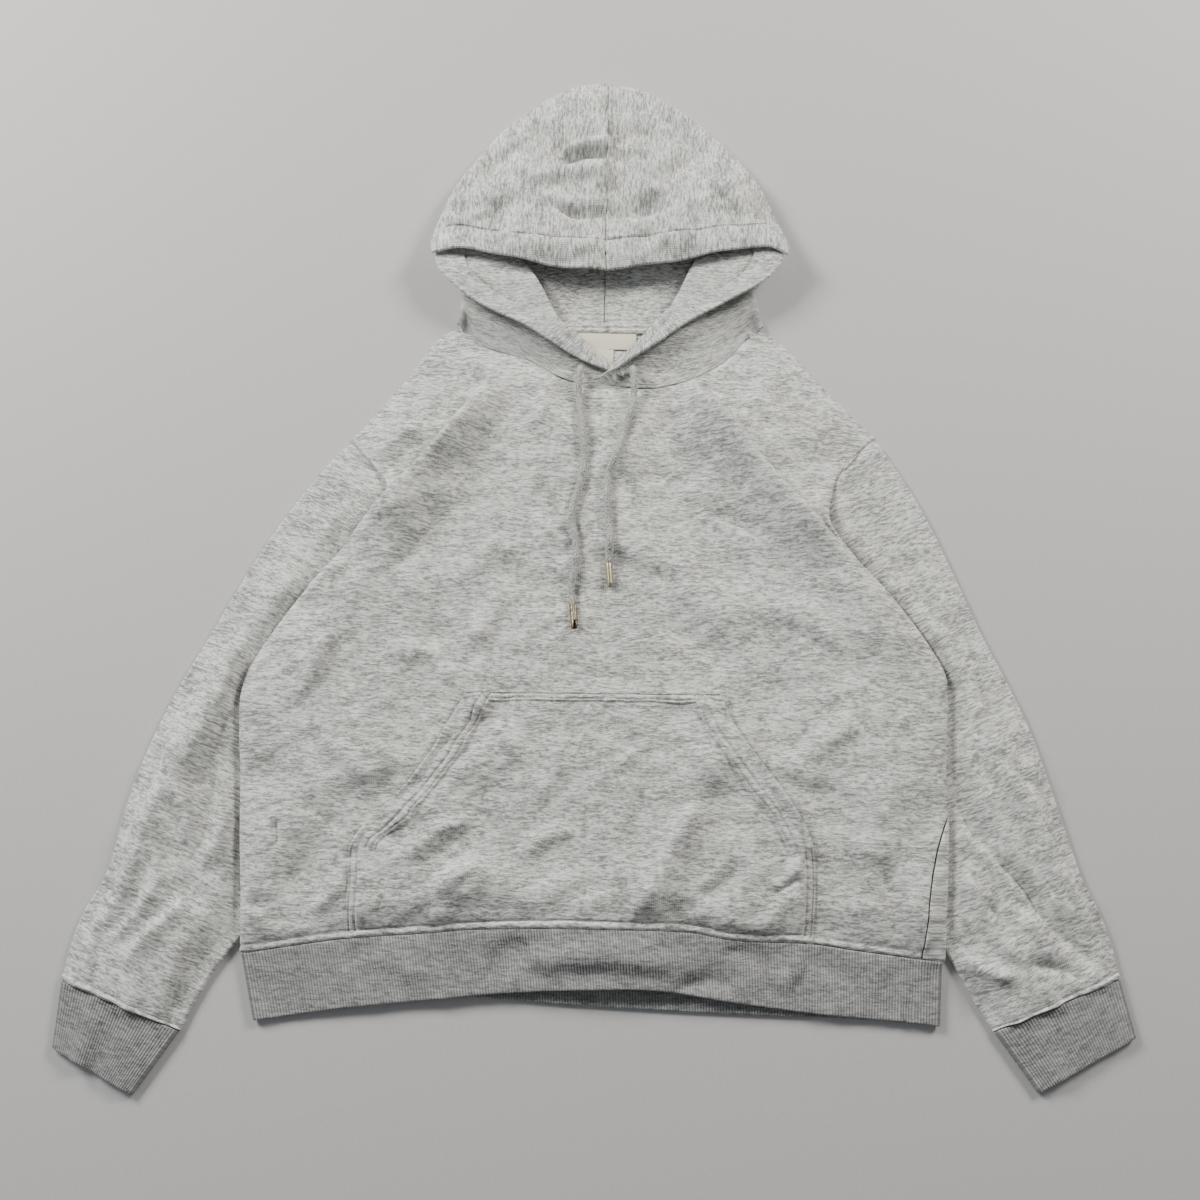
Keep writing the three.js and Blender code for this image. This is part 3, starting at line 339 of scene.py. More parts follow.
# Melange: short dark streaks in a light yarn, along the courses (u), and the loops of the knit as height
def melangeGroup():
    tree, given, result = nodeGroup(
        "melangeKnit",
        [
            ("NodeSocketVector", "Place", None),
            ("NodeSocketColor", "Light", (0.6, 0.6, 0.6, 1)),
            ("NodeSocketColor", "Dark", (0.2, 0.2, 0.2, 1)),
            ("NodeSocketFloat", "Streaks", 1.0),
            ("NodeSocketFloat", "Gauge", 1.25),
        ],
        [("NodeSocketColor", "Color"), ("NodeSocketFloat", "Height")],
    )
    place = given.outputs["Place"]
    wander = noise(tree, stretched(tree, place, 22, 12), 1.0, 2.0, 0.5)
    shifted = tree.nodes.new("ShaderNodeCombineXYZ")
    parts = tree.nodes.new("ShaderNodeSeparateXYZ")
    tree.links.new(place, parts.inputs[0])
    tree.links.new(parts.outputs["X"], shifted.inputs["X"])
    moved = calc(tree, "MULTIPLY_ADD", calc(tree, "SUBTRACT", wander, 0.5), 5 * mm, parts.outputs["Y"])
    tree.links.new(moved, shifted.inputs["Y"])
    bent = shifted.outputs[0]
    fine = spread(tree, noise(tree, stretched(tree, bent, 5.2, 1.25), 1.0, 2.0, 0.6), 0.33, 0.67)
    long = spread(tree, noise(tree, stretched(tree, bent, 12, 2.6), 1.0, 2.0, 0.5), 0.33, 0.67)
    patch = spread(tree, noise(tree, stretched(tree, bent, 60, 15), 1.0, 2.0, 0.5), 0.3, 0.7)
    hair = noise(tree, stretched(tree, place, 2.4, 1.1), 1.0, 2.0, 0.7)
    light = calc(tree, "MULTIPLY_ADD", fine, 0.34, calc(tree, "MULTIPLY", long, 0.26))
    light = calc(tree, "MULTIPLY_ADD", patch, 0.16, light)
    light = calc(tree, "MULTIPLY_ADD", hair, 0.5, light)
    light = calc(tree, "SUBTRACT", light, 0.63)
    light = calc(tree, "MULTIPLY_ADD", light, given.outputs["Streaks"], 0.5, clamp=True)
    color = blendColor(tree, light, given.outputs["Dark"], given.outputs["Light"])
    tree.links.new(color, result.inputs["Color"])

    gauge = calc(tree, "MULTIPLY", given.outputs["Gauge"], mm)
    across = calc(tree, "DIVIDE", parts.outputs["X"], gauge)
    down = calc(tree, "DIVIDE", parts.outputs["Y"], calc(tree, "MULTIPLY", gauge, 0.8))
    slant = calc(tree, "PINGPONG", down, 0.5)
    loops = calc(tree, "PINGPONG", calc(tree, "MULTIPLY_ADD", slant, 0.5, across), 0.5)
    fuzz = noise(tree, stretched(tree, place, 0.9, 0.6), 1.0, 3.0, 0.7)
    height = calc(tree, "MULTIPLY_ADD", loops, 0.9, calc(tree, "MULTIPLY", fuzz, 0.8))
    tree.links.new(height, result.inputs["Height"])
    return tree


def uvOf(tree):
    node = tree.nodes.new("ShaderNodeUVMap")
    node.uv_map = "UVMap"
    return node.outputs[0]


def newMaterial(name, **settings):
    material = bpy.data.materials.new(name)
    material.use_nodes = True
    shader = material.node_tree.nodes["Principled BSDF"]
    for label, value in settings.items():
        shader.inputs[label.replace("_", " ")].default_value = value
    return material, material.node_tree, shader


def bumped(tree, shader, height, strength, distance):
    bump = tree.nodes.new("ShaderNodeBump")
    bump.inputs["Strength"].default_value = strength
    bump.inputs["Distance"].default_value = distance * mm
    tree.links.new(height, bump.inputs["Height"])
    tree.links.new(bump.outputs["Normal"], shader.inputs["Normal"])


melangeTree = melangeGroup()


# valley is painted shade: it darkens the cloth in the hollows between ribs of the given pitch, where shade
# falls; 0 for plain cloth
def clothMaterial(name, light, dark, streaks, gauge, bump, valley=0.0, pitch=2.3):
    material, tree, shader = newMaterial(
        name, Roughness=0.94, Sheen_Weight=0.25, Sheen_Roughness=0.55, Specular_IOR_Level=0.2
    )
    uv = uvOf(tree)
    knit = tree.nodes.new("ShaderNodeGroup")
    knit.node_tree = melangeTree
    given = {"Place": uv, "Light": (*light, 1), "Dark": (*dark, 1), "Streaks": streaks, "Gauge": gauge}
    for label, value in given.items():
        feed(tree, value, knit.inputs[label])
    color = knit.outputs["Color"]
    # painted shade: a darker grey blended in along every hollow between ribs
    if valley:
        parts = tree.nodes.new("ShaderNodeSeparateXYZ")
        tree.links.new(uv, parts.inputs[0])
        wave = calc(tree, "COSINE", calc(tree, "MULTIPLY", parts.outputs["X"], 2 * math.pi / (pitch * mm)))
        shade = calc(tree, "MULTIPLY", calc(tree, "MULTIPLY_ADD", wave, 0.5, 0.5), valley)
        deep = tuple(0.55 * value for value in dark)
        color = blendColor(tree, shade, color, (*deep, 1))
    tree.links.new(color, shader.inputs["Base Color"])
    bumped(tree, shader, knit.outputs["Height"], bump, 0.5)
    return material


# light, dark, streaks, gauge, bump and, on the rib, the painted shade in its valleys and its pitch
clothSet = {
    "sweatshirtCloth": ((0.9, 0.9, 0.85), (0.27, 0.27, 0.258), 2.2, 1.6, 1.0),
    "ribKnit": ((0.58, 0.58, 0.565), (0.16, 0.16, 0.158), 1.5, 0.9, 0.4, 0.62, 2.3),
    "sewingThread": ((0.56, 0.56, 0.54), (0.34, 0.34, 0.33), 0.6, 0.5, 0.3),
    # painted shade: the sewing thread again at about half its brightness, for rows sunk in the hood's hem
    # groove
    "shadedSunkenThread": ((0.3, 0.3, 0.29), (0.16, 0.16, 0.155), 0.6, 0.5, 0.3),
}
bodyCloth, ribCloth, threadCloth, shadedThread = (
    clothMaterial(name, *values) for name, values in clothSet.items()
)


def labelMaterial():
    material, tree, shader = newMaterial("labelSatin", Roughness=0.45, Sheen_Weight=0.2)
    uv = uvOf(tree)
    threads = tree.nodes.new("ShaderNodeTexWave")
    tree.links.new(stretched(tree, uv, 0.7, 3.0), threads.inputs["Vector"])
    threads.inputs["Scale"].default_value = 0.35
    threads.inputs["Distortion"].default_value = 0.6
    cloudy = noise(tree, stretched(tree, uv, 9, 5), 1.0, 3.0, 0.6)
    share = calc(tree, "MULTIPLY_ADD", threads.outputs["Fac"], 0.25, calc(tree, "MULTIPLY", cloudy, 0.8))
    color = blendColor(tree, share, (0.7, 0.63, 0.47, 1), (0.9, 0.84, 0.68, 1))
    tree.links.new(color, shader.inputs["Base Color"])
    bumped(tree, shader, threads.outputs["Fac"], 0.3, 0.12)
    return material


def metalMaterial(name, bright, dull, rough):
    material, tree, shader = newMaterial(name, Metallic=1.0)
    place = tree.nodes.new("ShaderNodeTexCoord").outputs["Object"]
    patina = spread(tree, noise(tree, stretched(tree, place, 2.2, 3.5), 1.0, 4.0, 0.65), 0.38, 0.68)
    tree.links.new(blendColor(tree, patina, (*dull, 1), (*bright, 1)), shader.inputs["Base Color"])
    tree.links.new(calc(tree, "MULTIPLY_ADD", patina, -0.16, rough), shader.inputs["Roughness"])
    scratches = noise(tree, stretched(tree, place, 0.35, 3.0), 1.0, 3.0, 0.6)
    bumped(tree, shader, scratches, 0.25, 0.1)
    return material


labelSatin = labelMaterial()
darkTip = metalMaterial("dullBrass", (0.42, 0.35, 0.2), (0.13, 0.1, 0.06), 0.5)
paleTip = metalMaterial("paleBrass", (0.66, 0.6, 0.42), (0.36, 0.31, 0.2), 0.45)
print("materials made")


# Sizes of the cloth and where its layers lie
cloth = 1.8             # thickness of the sweatshirt cloth
rib = 2.6               # thickness of the doubled rib
seamGap = 0.4           # a piece stops this far from the line of a seam
fold = 1.5              # radius of the cloth's middle where it folds back on itself
onTable = cloth / 2
frontRise = 2 * fold
quarterTurn = math.pi / 2 * fold
sleeveStack = 5.7       # the body lies this much higher where it is on a sleeve
armpitX, armpitY = 226, -75
bodyRun = 440           # from hem to neck, and about as much from armhole to cuff
armholes = {-1: {"topX": 226, "topY": 209, "bow": 50}, 1: {"topX": 245, "topY": 221, "bow": 48}}


# Line of an armhole: straight from shoulder to armpit, bowed inwards most in the middle
def armholeAt(x, y):
    def one(a):
        place = np.clip((a["topY"] - y) / (a["topY"] - armpitY), 0, 1)
        return mix(a["topX"], armpitX, place) - a["bow"] * (1 - np.abs(2 * place - 1) ** 4)
    return np.where(x < 0, one(armholes[-1]), one(armholes[1]))


underarm = table(
    "y x",
    (-262, 314), (-250, 308), (-232, 297), (-214, 283), (-192, 272), (-168, 262), (-143, 252), (-112, 240),
    (-88, 231), (-75, 226),
)
bodySide = table(
    "y x",
    (-229, 281), (-140, 289), (-48, 297), (-14, 298), (10, 292), (62, 260), (110, 221), (145, 197),
    (165, 189), (187, 203), (209, 228),
)
hemSeam = table(
    "x y",
    (-281, -229), (-197, -216), (-139, -211), (-94, -207), (-32, -205), (32, -205), (80, -206), (112, -211),
    (176, -213), (216, -218), (281, -225),
)


def sleeveEdgeAt(x, y):
    return np.where(y > armpitY, armholeAt(x, y), curve(underarm, "y", "x", y))


def onSleeve(x, y):      # 1 where the body lies on a sleeve, 0 well inside it
    level = 46 * bell(y - armpitY, 14)
    inside = sleeveEdgeAt(x, y) - np.abs(x) - level
    return (1 - ease((inside - 6) / 34)) * ease((y + 234) / 16)


# Height of what a panel lies on: the table, or a sleeve beyond its edge
def frontGround(x, y):
    return onTable + sleeveStack * onSleeve(x, y) * ease((187 - y) / 27)


def backGround(x, y):
    beyond = 1 - ease((sleeveEdgeAt(x, y) - np.abs(x)) / 1.2)
    return onTable + sleeveStack * onSleeve(x, y) * np.maximum(beyond, ease((armpitY + 60 - y) / 42))


def hemSeamAt(x):
    return curve(hemSeam, "x", "y", x)


# puff is the room between the layers, folds and creases the strength of the two tables, neckDip the groove
# along the neck seam and hemLift how far the front hem stands off the back hem in the middle
frontSet = {"puff": 7.0, "folds": 1.8, "creases": 3.8, "neckDip": 3.0, "hemLift": 8.0}


def hemLift(x):
    return frontSet["hemLift"] * bell(x - 20, 92)


frontFolds = table(
    "x0 y0 x1 y1 wide high",
    (-94, 262, -240, 20, 22, 4), (101, 248, 250, 40, 22, 4), (30, 215, 118, 95, 17, -3),
    (-20, 70, -80, 88, 16, -2.5), (5, 150, 100, 60, 18, 3), (-150, -120, -75, -60, 16, 3),
    (-160, -205, -95, -165, 15, 3), (45, -190, 92, -75, 15, 3), (-255, -190, -230, -140, 14, -3),
    (215, -180, 245, -90, 16, 3),
)
frontCreases = table(
    "x0 y0 x1 y1 bow wide high lean",
    (-212, 118, -102, 262, -3, 13, 4.4, -0.62), (206, 110, 80, 268, 3, 12, 4.0, 0.6),
    (-222, 126, -112, 270, -3, 9, -2.6, 0.5), (216, 118, 90, 276, 3, 9, -2.4, -0.5),
    (-156, 158, -70, 262, -2, 14, -1.1, 0.3), (-250, 60, -222, 96, 2, 10, 2.0, -0.4),
    (97, 150, 144, 123, 3, 5, -1.8, 0.4), (47, 93, 68, 74, 2, 5, -1.3, 0.3),
    (58, 245, 93, 184, -5, 12, -2.4, -0.3), (145, 2, 164, -22, 2, 4, -1.1, 0.2),
    (-261, -123, -259, -146, 1, 3, -1.4, 0.3), (-278, -188, -252, -207, 2, 6, -2.6, 0.4),
    (-225, -194, -201, -169, -2, 5, 1.8, 0.3), (233, -150, 244, -205, 3, 7, -1.7, 0.3),
    (-85, 75, -109, 22, 4, 9, 1.4, -0.3), (-252, -24, -226, 30, -3, 8, 1.3, 0.3),
    (34, 249, 8, 187, 6, 13, 1.6, 0.3), (-140, 150, -180, 90, 3, 8, -1.3, 0.3),
    (-118, 238, -150, 196, 3, 5, 1.5, 0.4), (-160, 226, -196, 196, -3, 6, 1.7, -0.3),
    (-128, 300, -100, 268, 4, 7, 1.4, 0.3), (128, 262, 176, 236, -5, 8, 1.8, 0.3),
    (150, 222, 196, 216, 5, 8, 1.5, -0.3), (112, 286, 132, 262, 3, 5, -1.6, 0.3),
    (74, 262, 118, 226, 4, 6, 1.5, 0.3), (-46, 262, -66, 224, 3, 8, 1.5, 0.3),
    (-10, 120, 46, 96, 6, 10, 1.4, 0.3), (60, 46, 120, 14, -5, 9, -1.4, 0.3),
    (-170, 26, -118, -6, 5, 9, 1.3, -0.3), (-230, -60, -180, -96, 6, 10, 1.5, 0.3),
    (-210, -128, -240, -100, 3, 6, -1.3, 0.3), (176, -66, 214, -40, 4, 8, 1.4, 0.3),
    (196, -120, 226, -150, 3, 7, 1.3, -0.3), (150, 60, 206, 26, 5, 9, 1.5, 0.3),
)


# Middle of the front panel, inset from its side edge, with rise from 0 at the hem to 1 at the neck
def frontHeight(x, y, inset, rise):
    above = y - hemSeamAt(x)
    # free: 0 at every edge, except that the side edge folds back in a full round
    free = mix(ease(inset / 45), rounded(inset / 13), 0.8) * ease(above / 34) * ease((1 - rise) / 0.14)
    neck = 3.2 * ease((rise - 0.8) / 0.2) * ease((125 - np.abs(x)) / 45)
    hem = hemLift(x) * (1 - ease(above / 60))
    puff = np.maximum(0.5, frontSet["puff"] + frontSet["folds"] * foldHeight(frontFolds, x, y))
    detail = frontSet["creases"] * creaseHeight(frontCreases, x, y) + worn(x, y, 3)
    loose = ease(inset / 12) * ease(above / 14) * ease((1 - rise) / 0.05)
    dip = frontSet["neckDip"] * bell((1 - rise) * bodyRun, 4.5)
    return frontGround(x, y) + frontRise + np.maximum(free * puff + neck + hem + loose * detail, 0.2) - dip


# Drawcords: their routes, from under the free edges of the hood down the front to the metal tips
cordSet = {"radius": 3.0, "strands": 12, "lay": 10.5, "relief": 0.5}
cordRoutes = {
    "right": table("x y", (-20, 286), (-22, 271), (-20, 245), (-17, 219), (-15, 199), (-17, 177), (-22, 159),
                   (-25, 142), (-21, 120), (-21, 96), (-24, 77), (-22, 64)),
    "left": table("x y", (26, 286), (28, 272), (27, 246), (21, 225), (14, 200), (7, 182), (5, 164),
                  (7, 145), (9, 120), (8, 99)),
}
cordTips = {"right": (-20, 42), "left": (10, 77)}


def topOfFront(x, y):    # upper face of the front panel near the centre line
    rise = np.clip((y - hemSeamAt(x)) / (270 - hemSeamAt(x)), 0, 1)
    return frontHeight(x, y, 200.0 + 0 * x, rise) + cloth / 2


def cordHeight(x, y):    # over the neck seam, then down under the edge of the hood
    climb = 3.1 * ease((y - 250) / 20) - 4.5 * ease((y - 277) / 9)
    return topOfFront(x, np.minimum(y, 258)) + cordSet["radius"] + 0.2 + climb


def along(points):       # distance run along a line of points
    return np.insert(np.cumsum(np.linalg.norm(np.diff(points, axis=0), axis=1)), 0, 0)


def resampled(points, step):     # the same line with its points evenly spaced
    run = along(points)
    at = steps(0, run[-1], max(2, int(round(run[-1] / step)) + 1))
    return stacked(*(np.interp(at, run, points[:, k]) for k in range(3)))


# Middle of a cord: a smooth line through its route, lying on the front panel
def cordLine(side):
    route = cordRoutes[side]
    route["at"] = np.arange(len(route["x"]), dtype=float)
    at = steps(0, len(route["x"]) - 1, 400)
    x, y = curve(route, "at", "x", at), curve(route, "at", "y", at)
    return resampled(stacked(x, y, cordHeight(x, y)), 0.5)


# A tube along a line. radius(angle, run) gives the surface; the frame turns with the line, z kept upward
def tubeWall(line, radius, sides):
    run = along(line)
    tangent = np.gradient(line, axis=0)
    tangent /= np.linalg.norm(tangent, axis=1, keepdims=True)
    side = np.cross(tangent, (0, 0, 1))
    side /= np.linalg.norm(side, axis=1, keepdims=True)
    up = np.cross(side, tangent)
    angle = np.arange(sides) * 2 * math.pi / sides
    r = radius(angle[None, :], run[:, None])
    r = r * np.maximum(rounded(np.minimum(run, run[-1] - run) / 2.0), 0.02)[:, None]
    points = line[:, None] + r[..., None] * (
        np.cos(angle)[None, :, None] * side[:, None] + np.sin(angle)[None, :, None] * up[:, None]
    )
    index = np.arange(r.size).reshape(r.shape)
    a, b = index, np.roll(index, -1, 1)
    faces = stacked(a[:-1], b[:-1], b[1:], a[1:]).reshape(-1, 4)[:, ::-1]
    corner = stacked(join([angle, [2 * math.pi]]) * 3, run[:, None])
    ca, cb = corner[:, :-1], corner[:, 1:]
    places = np.stack([ca[:-1], cb[:-1], cb[1:], ca[1:]], axis=-2).reshape(-1, 4, 2)[:, ::-1]
    caps = [(index[0, 0], index[0, k], index[0, k + 1], index[0, k + 2]) for k in range(1, sides - 2, 2)]
    caps += [(index[-1, k + 2], index[-1, k + 1], index[-1, k], index[-1, 0]) for k in range(1, sides - 2, 2)]
    return points.reshape(-1, 3), join([faces, np.array(caps)]), join([places, np.zeros((len(caps), 4, 2))])


# Braid: two sets of strands wound opposite ways, one over the other in turn
def braid(angle, run):
    turn = run / cordSet["lay"] * 2 * math.pi
    one = np.cos(cordSet["strands"] / 2 * angle + turn * 2.4)
    two = np.cos(cordSet["strands"] / 2 * angle - turn * 2.4)
    strands = np.maximum(one, two) * np.abs(np.sin(turn * 2.4 + angle))
    return cordSet["radius"] - 0.15 + cordSet["relief"] * strands


def cordMaterial():
    material, tree, shader = newMaterial("braidedCotton", Roughness=0.9, Sheen_Weight=0.3)
    yarn = noise(tree, stretched(tree, uvOf(tree), 1.6, 1.6), 1.0, 3.0, 0.65)
    fibre = noise(tree, stretched(tree, uvOf(tree), 0.5, 0.3), 1.0, 2.0, 0.6)
    share = spread(tree, calc(tree, "MULTIPLY_ADD", fibre, 0.4, calc(tree, "MULTIPLY", yarn, 0.6)), 0.38, 0.6)
    color = blendColor(tree, share, (0.13, 0.13, 0.125, 1), (0.62, 0.62, 0.59, 1))
    tree.links.new(color, shader.inputs["Base Color"])
    bumped(tree, shader, fibre, 0.5, 0.3)
    return material


cordCotton = cordMaterial()


# Metal tip: a sheet rolled round the cord's end, with its slot where gap points (angle in degrees)
tipSet = {
    "right": dict(radius=3.0, end=2.75, length=23.0, gap=100, open=24, wall=0.45, material=darkTip),
    "left": dict(radius=2.75, end=2.5, length=20.5, gap=250, open=10, wall=0.45, material=paleTip),
}


def metalTip(side, start, direction):
    t = tipSet[side]
    run = steps(0, t["length"], 26)
    turn = np.radians(t["gap"] + steps(t["open"], 360 - t["open"], 37))
    forward = np.array(direction)
    across = np.cross(forward, (0, 0, 1))
    across /= np.linalg.norm(across)
    up = np.cross(across, forward)
    radius = mix(t["radius"], t["end"], run / t["length"]) - 0.25 * ease((2.2 - run) / 2.2)
    radius = radius - 0.5 * ease((run - t["length"] + 2.5) / 2.5)
    ring = np.cos(turn)[None, :, None] * across + np.sin(turn)[None, :, None] * up
    middle = start + run[:, None, None] * forward + radius[:, None, None] * ring
    return clothWall(middle[:, ::-1], t["wall"], stacked(turn * 3, run[:, None])[:, ::-1])


def makeCords():
    for side in ("right", "left"):
        line = cordLine(side)
        tip = np.array([*cordTips[side], 0.0])
        tip[2] = float(cordHeight(tip[0], tip[1]))
        end = line[-1]
        direction = (tip - end) / np.linalg.norm(tip - end)
        inside = end + direction * steps(0.5, 0.72 * tipSet[side]["length"], 30)[:, None]
        full = resampled(join([line, inside]), 0.5)
        reach = along(line)[-1]

        def radius(angle, run, reach=reach, side=side):
            narrow = ease((run - reach + 3) / 3)
            return mix(braid(angle, run), 2.2 if side == "right" else 1.7, narrow)

        name = "drawcord_" + side
        cord = meshPiece(name, *tubeWall(full, radius, 30), cordCotton, "cord", [name])
        wall = metalTip(side, end - direction * 0.5, direction)
        aglet = meshPiece("aglet_" + side, *wall, tipSet[side]["material"], "tips", ["aglet_" + side])


makeCords()
print("drawcords made")


# Body panels

# Where a point lies on a folded edge: around is the distance along the cloth from it, positive on top
def roundEdge(around):
    turn = np.clip(around / fold, -math.pi / 2, math.pi / 2)
    beyond = np.maximum(np.abs(around) - quarterTurn, 0)
    return fold * (1 - np.cos(turn)) + beyond, (1 + np.sin(turn)) / 2


sharedSides = 0.345
frontSides = table(
    "rise leftX leftY rightX rightY leftSeam rightSeam",
    (0.00, -281, -228.6, 281, -224.6, -9, 17), (0.10, -284, -186, 284, -184, -9, 15),
    (0.22, -289, -140, 288, -140, -9, 10), (0.34, -293, -90, 290, -92, -9, -3),
    (0.44, -298, -48, 292, -50, -9, -9), (0.51, -299, -18, 295, -12, -9, -9),
    (0.57, -291, 8, 292, 14, -9, -9), (0.68, -261, 58, 258, 66, -9, -9), (0.80, -221, 111, 221, 109, -9, -9),
    (0.90, -188.5, 160, 200, 146, quarterTurn, -4), (0.95, -202, 186, 208, 180, quarterTurn, quarterTurn),
    (0.975, -213, 198, 224, 202, quarterTurn, quarterTurn),
    (1.00, -224.5, 211.5, 245, 223, quarterTurn, quarterTurn),
)
frontTop = table(
    "span x y",
    (0.00, -224.5, 211.5), (0.10, -184, 266), (0.20, -141, 321), (0.27, -101, 303), (0.34, -66, 292),
    (0.41, -34, 274), (0.49, 0, 271), (0.57, 42, 267), (0.65, 80, 277), (0.72, 111, 296), (0.80, 147, 325),
    (0.90, 199, 273), (1.00, 245, 223),
)
hemBorder = {"span": (hemSeam["x"] + 281) / 562, "x": hemSeam["x"], "y": hemSeam["y"] + 0.15}


def beside(x, y):
    return armholeAt(x, y) + fold - 0.9


def backSideRow(rise, y):
    left, right = -beside(np.array(-1.0), y), beside(np.array(1.0), y)
    return (rise, left, y, right, y, -quarterTurn, -quarterTurn)


backSides = table(
    "rise leftX leftY rightX rightY leftSeam rightSeam",
    (0.00, -281, -228.6, 281, -224.6, -9, 17), (0.10, -284, -186, 284, -184, -9, 15),
    (0.22, -289, -140, 288, -140, -9, 10), (0.34, -293, -90, 290, -92, -9, -3),
    *(backSideRow(rise, y) for rise, y in (
        (0.38, -72), (0.41, -60), (0.44, -45), (0.48, -25), (0.53, 0), (0.66, 55), (0.78, 110), (0.88, 155),
        (0.94, 180),
    )),
    (1.00, -224.5, 210.5, 245, 222, -quarterTurn, -quarterTurn),
)
backTop = table(
    "span x y",
    (0.00, -224.5, 210.5), (0.12, -184, 266), (0.24, -141, 321), (0.32, -90, 324), (0.50, 4, 326),
    (0.68, 95, 325), (0.76, 147, 325), (0.88, 199, 273), (1.00, 245, 222),
)


def sideAt(patch, rise, key):
    own, shared = curve(patch["sides"], "rise", key, rise), curve(frontSides, "rise", key, rise)
    return np.where(rise > sharedSides, own, shared)


# A point between four border lines: the sides mixed over span, the ends mixed over rise, less the corners
def patchPoint(patch, span, rise):
    plan = []
    for axis, key in (("X", "x"), ("Y", "y")):
        across = mix(sideAt(patch, rise, "left" + axis), sideAt(patch, rise, "right" + axis), span)
        ends = mix(curve(patch["bottom"], "span", key, span), curve(patch["top"], "span", key, span), rise)
        low = mix(patch["bottom"][key][0], patch["bottom"][key][-1], span)
        high = mix(patch["top"][key][0], patch["top"][key][-1], span)
        plan.append(across + ends - mix(low, high, rise))
    return plan


# The grid of a panel: close columns from each side seam round the folded edge, then wider ones to the middle
def panelGrid(patch, rises, edgeColumns, middleColumns, upper, height):
    rise = rises[:, None]
    leftX, leftY, rightX, rightY = (sideAt(patch, rise, k) for k in ("leftX", "leftY", "rightX", "rightY"))
    width = np.hypot(rightX - leftX, rightY - leftY)
    halves = []
    for key, fromLeft in (("leftSeam", True), ("rightSeam", False)):
        start = upper * sideAt(patch, rise, key) + seamGap
        knee = np.maximum(quarterTurn, start + 4)
        close = mix(start, knee, steps(0, 1, edgeColumns, endpoint=False)[None, :])
        middle = width / 2 - fold + quarterTurn
        wide = mix(knee, middle, steps(0, 1, middleColumns)[None, :] ** 1.2)
        place = join([close, wide if fromLeft else wide[:, :-1]], axis=1)
        inset, share = roundEdge(upper * place)
        span = inset / width if fromLeft else 1 - inset / width
        x, y = patchPoint(patch, span, rise + 0 * span)
        sewn = ease(sideAt(patch, rise, key) / quarterTurn)   # 1 beside an armhole, flat and further out
        x = x + (-1.6 if fromLeft else 1.6) * sewn * (1 - ease(inset / 14))
        z = height(x, y, inset, rise + 0 * span, span, share)
        clothX = leftX + place if fromLeft else rightX - place
        u = mix(clothX, x, ease(inset / 30))
        half = stacked(x, y, z, u, y)
        halves.append(half if fromLeft else half[:, ::-1])
    grid = join(halves, axis=1)
    return grid[..., :3], grid[..., 3:]


# 1 along the shoulders and 0 along the neck; how far the cloth has turned over at the shoulder
def shoulderShare(span, first, last):
    return 1 - ease((span - first) / 0.03) * ease((last - span) / 0.03)


def shoulderFold(rise):
    return 0.76 + 0.24 * rounded((1 - rise) * bodyRun / fold)


# Middle of each panel, turned towards the other one round the side edges (share) and at the shoulders
def frontZ(x, y, inset, rise, span, share):
    shoulder = shoulderShare(span, 0.2, 0.8) * (1 - shoulderFold(rise))
    return frontHeight(x, y, inset, rise) - frontRise * (1 - share + shoulder)


def backZ(x, y, inset, rise, span, share):
    shoulder = shoulderShare(span, 0.24, 0.76) * (1 - shoulderFold(rise))
    wrapped = frontHeight(x, y, inset, rise) - frontRise - frontGround(x, y)
    return backGround(x, y) + frontRise * (share + shoulder) + np.where(share > 0, wrapped * share, 0)


# The ridge that a covered seam makes beside a rib, d from the seam
def seamRidge(d):
    return 1.15 * bell(d - 2.9, 1.9) - 0.55 * bell(d - 6.4, 1.2)


fineRises = join([steps(0, 0.03, 15), steps(0.036, 0.9955, 148),
                            [0.9968, 0.998, 0.999, 0.9996, 1]])
frontPatch = {"sides": frontSides, "top": frontTop, "bottom": hemBorder}
backPatch = {"sides": backSides, "top": backTop, "bottom": hemBorder}
frontGrid, frontUv = panelGrid(frontPatch, fineRises, 15, 75, 1, frontZ)
frontRaised = seamRidge(frontGrid[..., 1] - hemSeamAt(frontGrid[..., 0]))
frontPanel = meshPiece("frontPanel", *clothWall(frontGrid, cloth, frontUv, frontRaised), bodyCloth, "melange",
                       ["front_panel"])
coarseRises = join([steps(0, 0.03, 8), steps(0.037, 0.9955, 80), [0.998, 0.9993, 1]])
backGrid, backUv = panelGrid(backPatch, coarseRises, 16, 56, -1, backZ)
backPanel = meshPiece("backPanel", *clothWall(backGrid, cloth, backUv), bodyCloth, "melange", ["back_panel"])
print("body panels made")


# Flattened tubes

# A flat ring from a (on the side of +x) to b over the top and back underneath; bow moves its middle sideways.
# Returns the plan points, the place from a to b and the share of the rise, 1 on top and 0 below.
def flatRing(a, b, bow, radius, top, bottom):
    width = np.linalg.norm(b - a, axis=1)[:, None]
    direction = (b - a) / width
    turn = steps(1.35, -1.35, 9)[None, :]
    bend = radius * (1 - np.cos(turn))
    upper = mix(radius, width - radius, steps(0, 1, top)[None, :])
    lower = mix(width - radius, radius, steps(0, 1, bottom)[None, :])
    inset = join([upper, width - bend, lower, 0 * width + bend[:, ::-1]], axis=1)
    side = (1 + np.sin(turn[0])) / 2
    share = join([np.ones(top), side, np.zeros(bottom), side[::-1]])[None, :]
    place = inset / width
    bowed = bow[:, None] * (1 - np.abs(2 * place - 1) ** 4)
    sideways = stacked(-direction[:, 1], direction[:, 0])
    plan = a[:, None] + direction[:, None] * inset[..., None] + sideways[:, None] * bowed[..., None]
    return plan[..., 0], plan[..., 1], place, share + 0 * place


def roundUv(u, v):       # the first column once more at the end, where a ring closes
    uv = stacked(u, v)
    return join([uv, uv[:, :1]], axis=1)


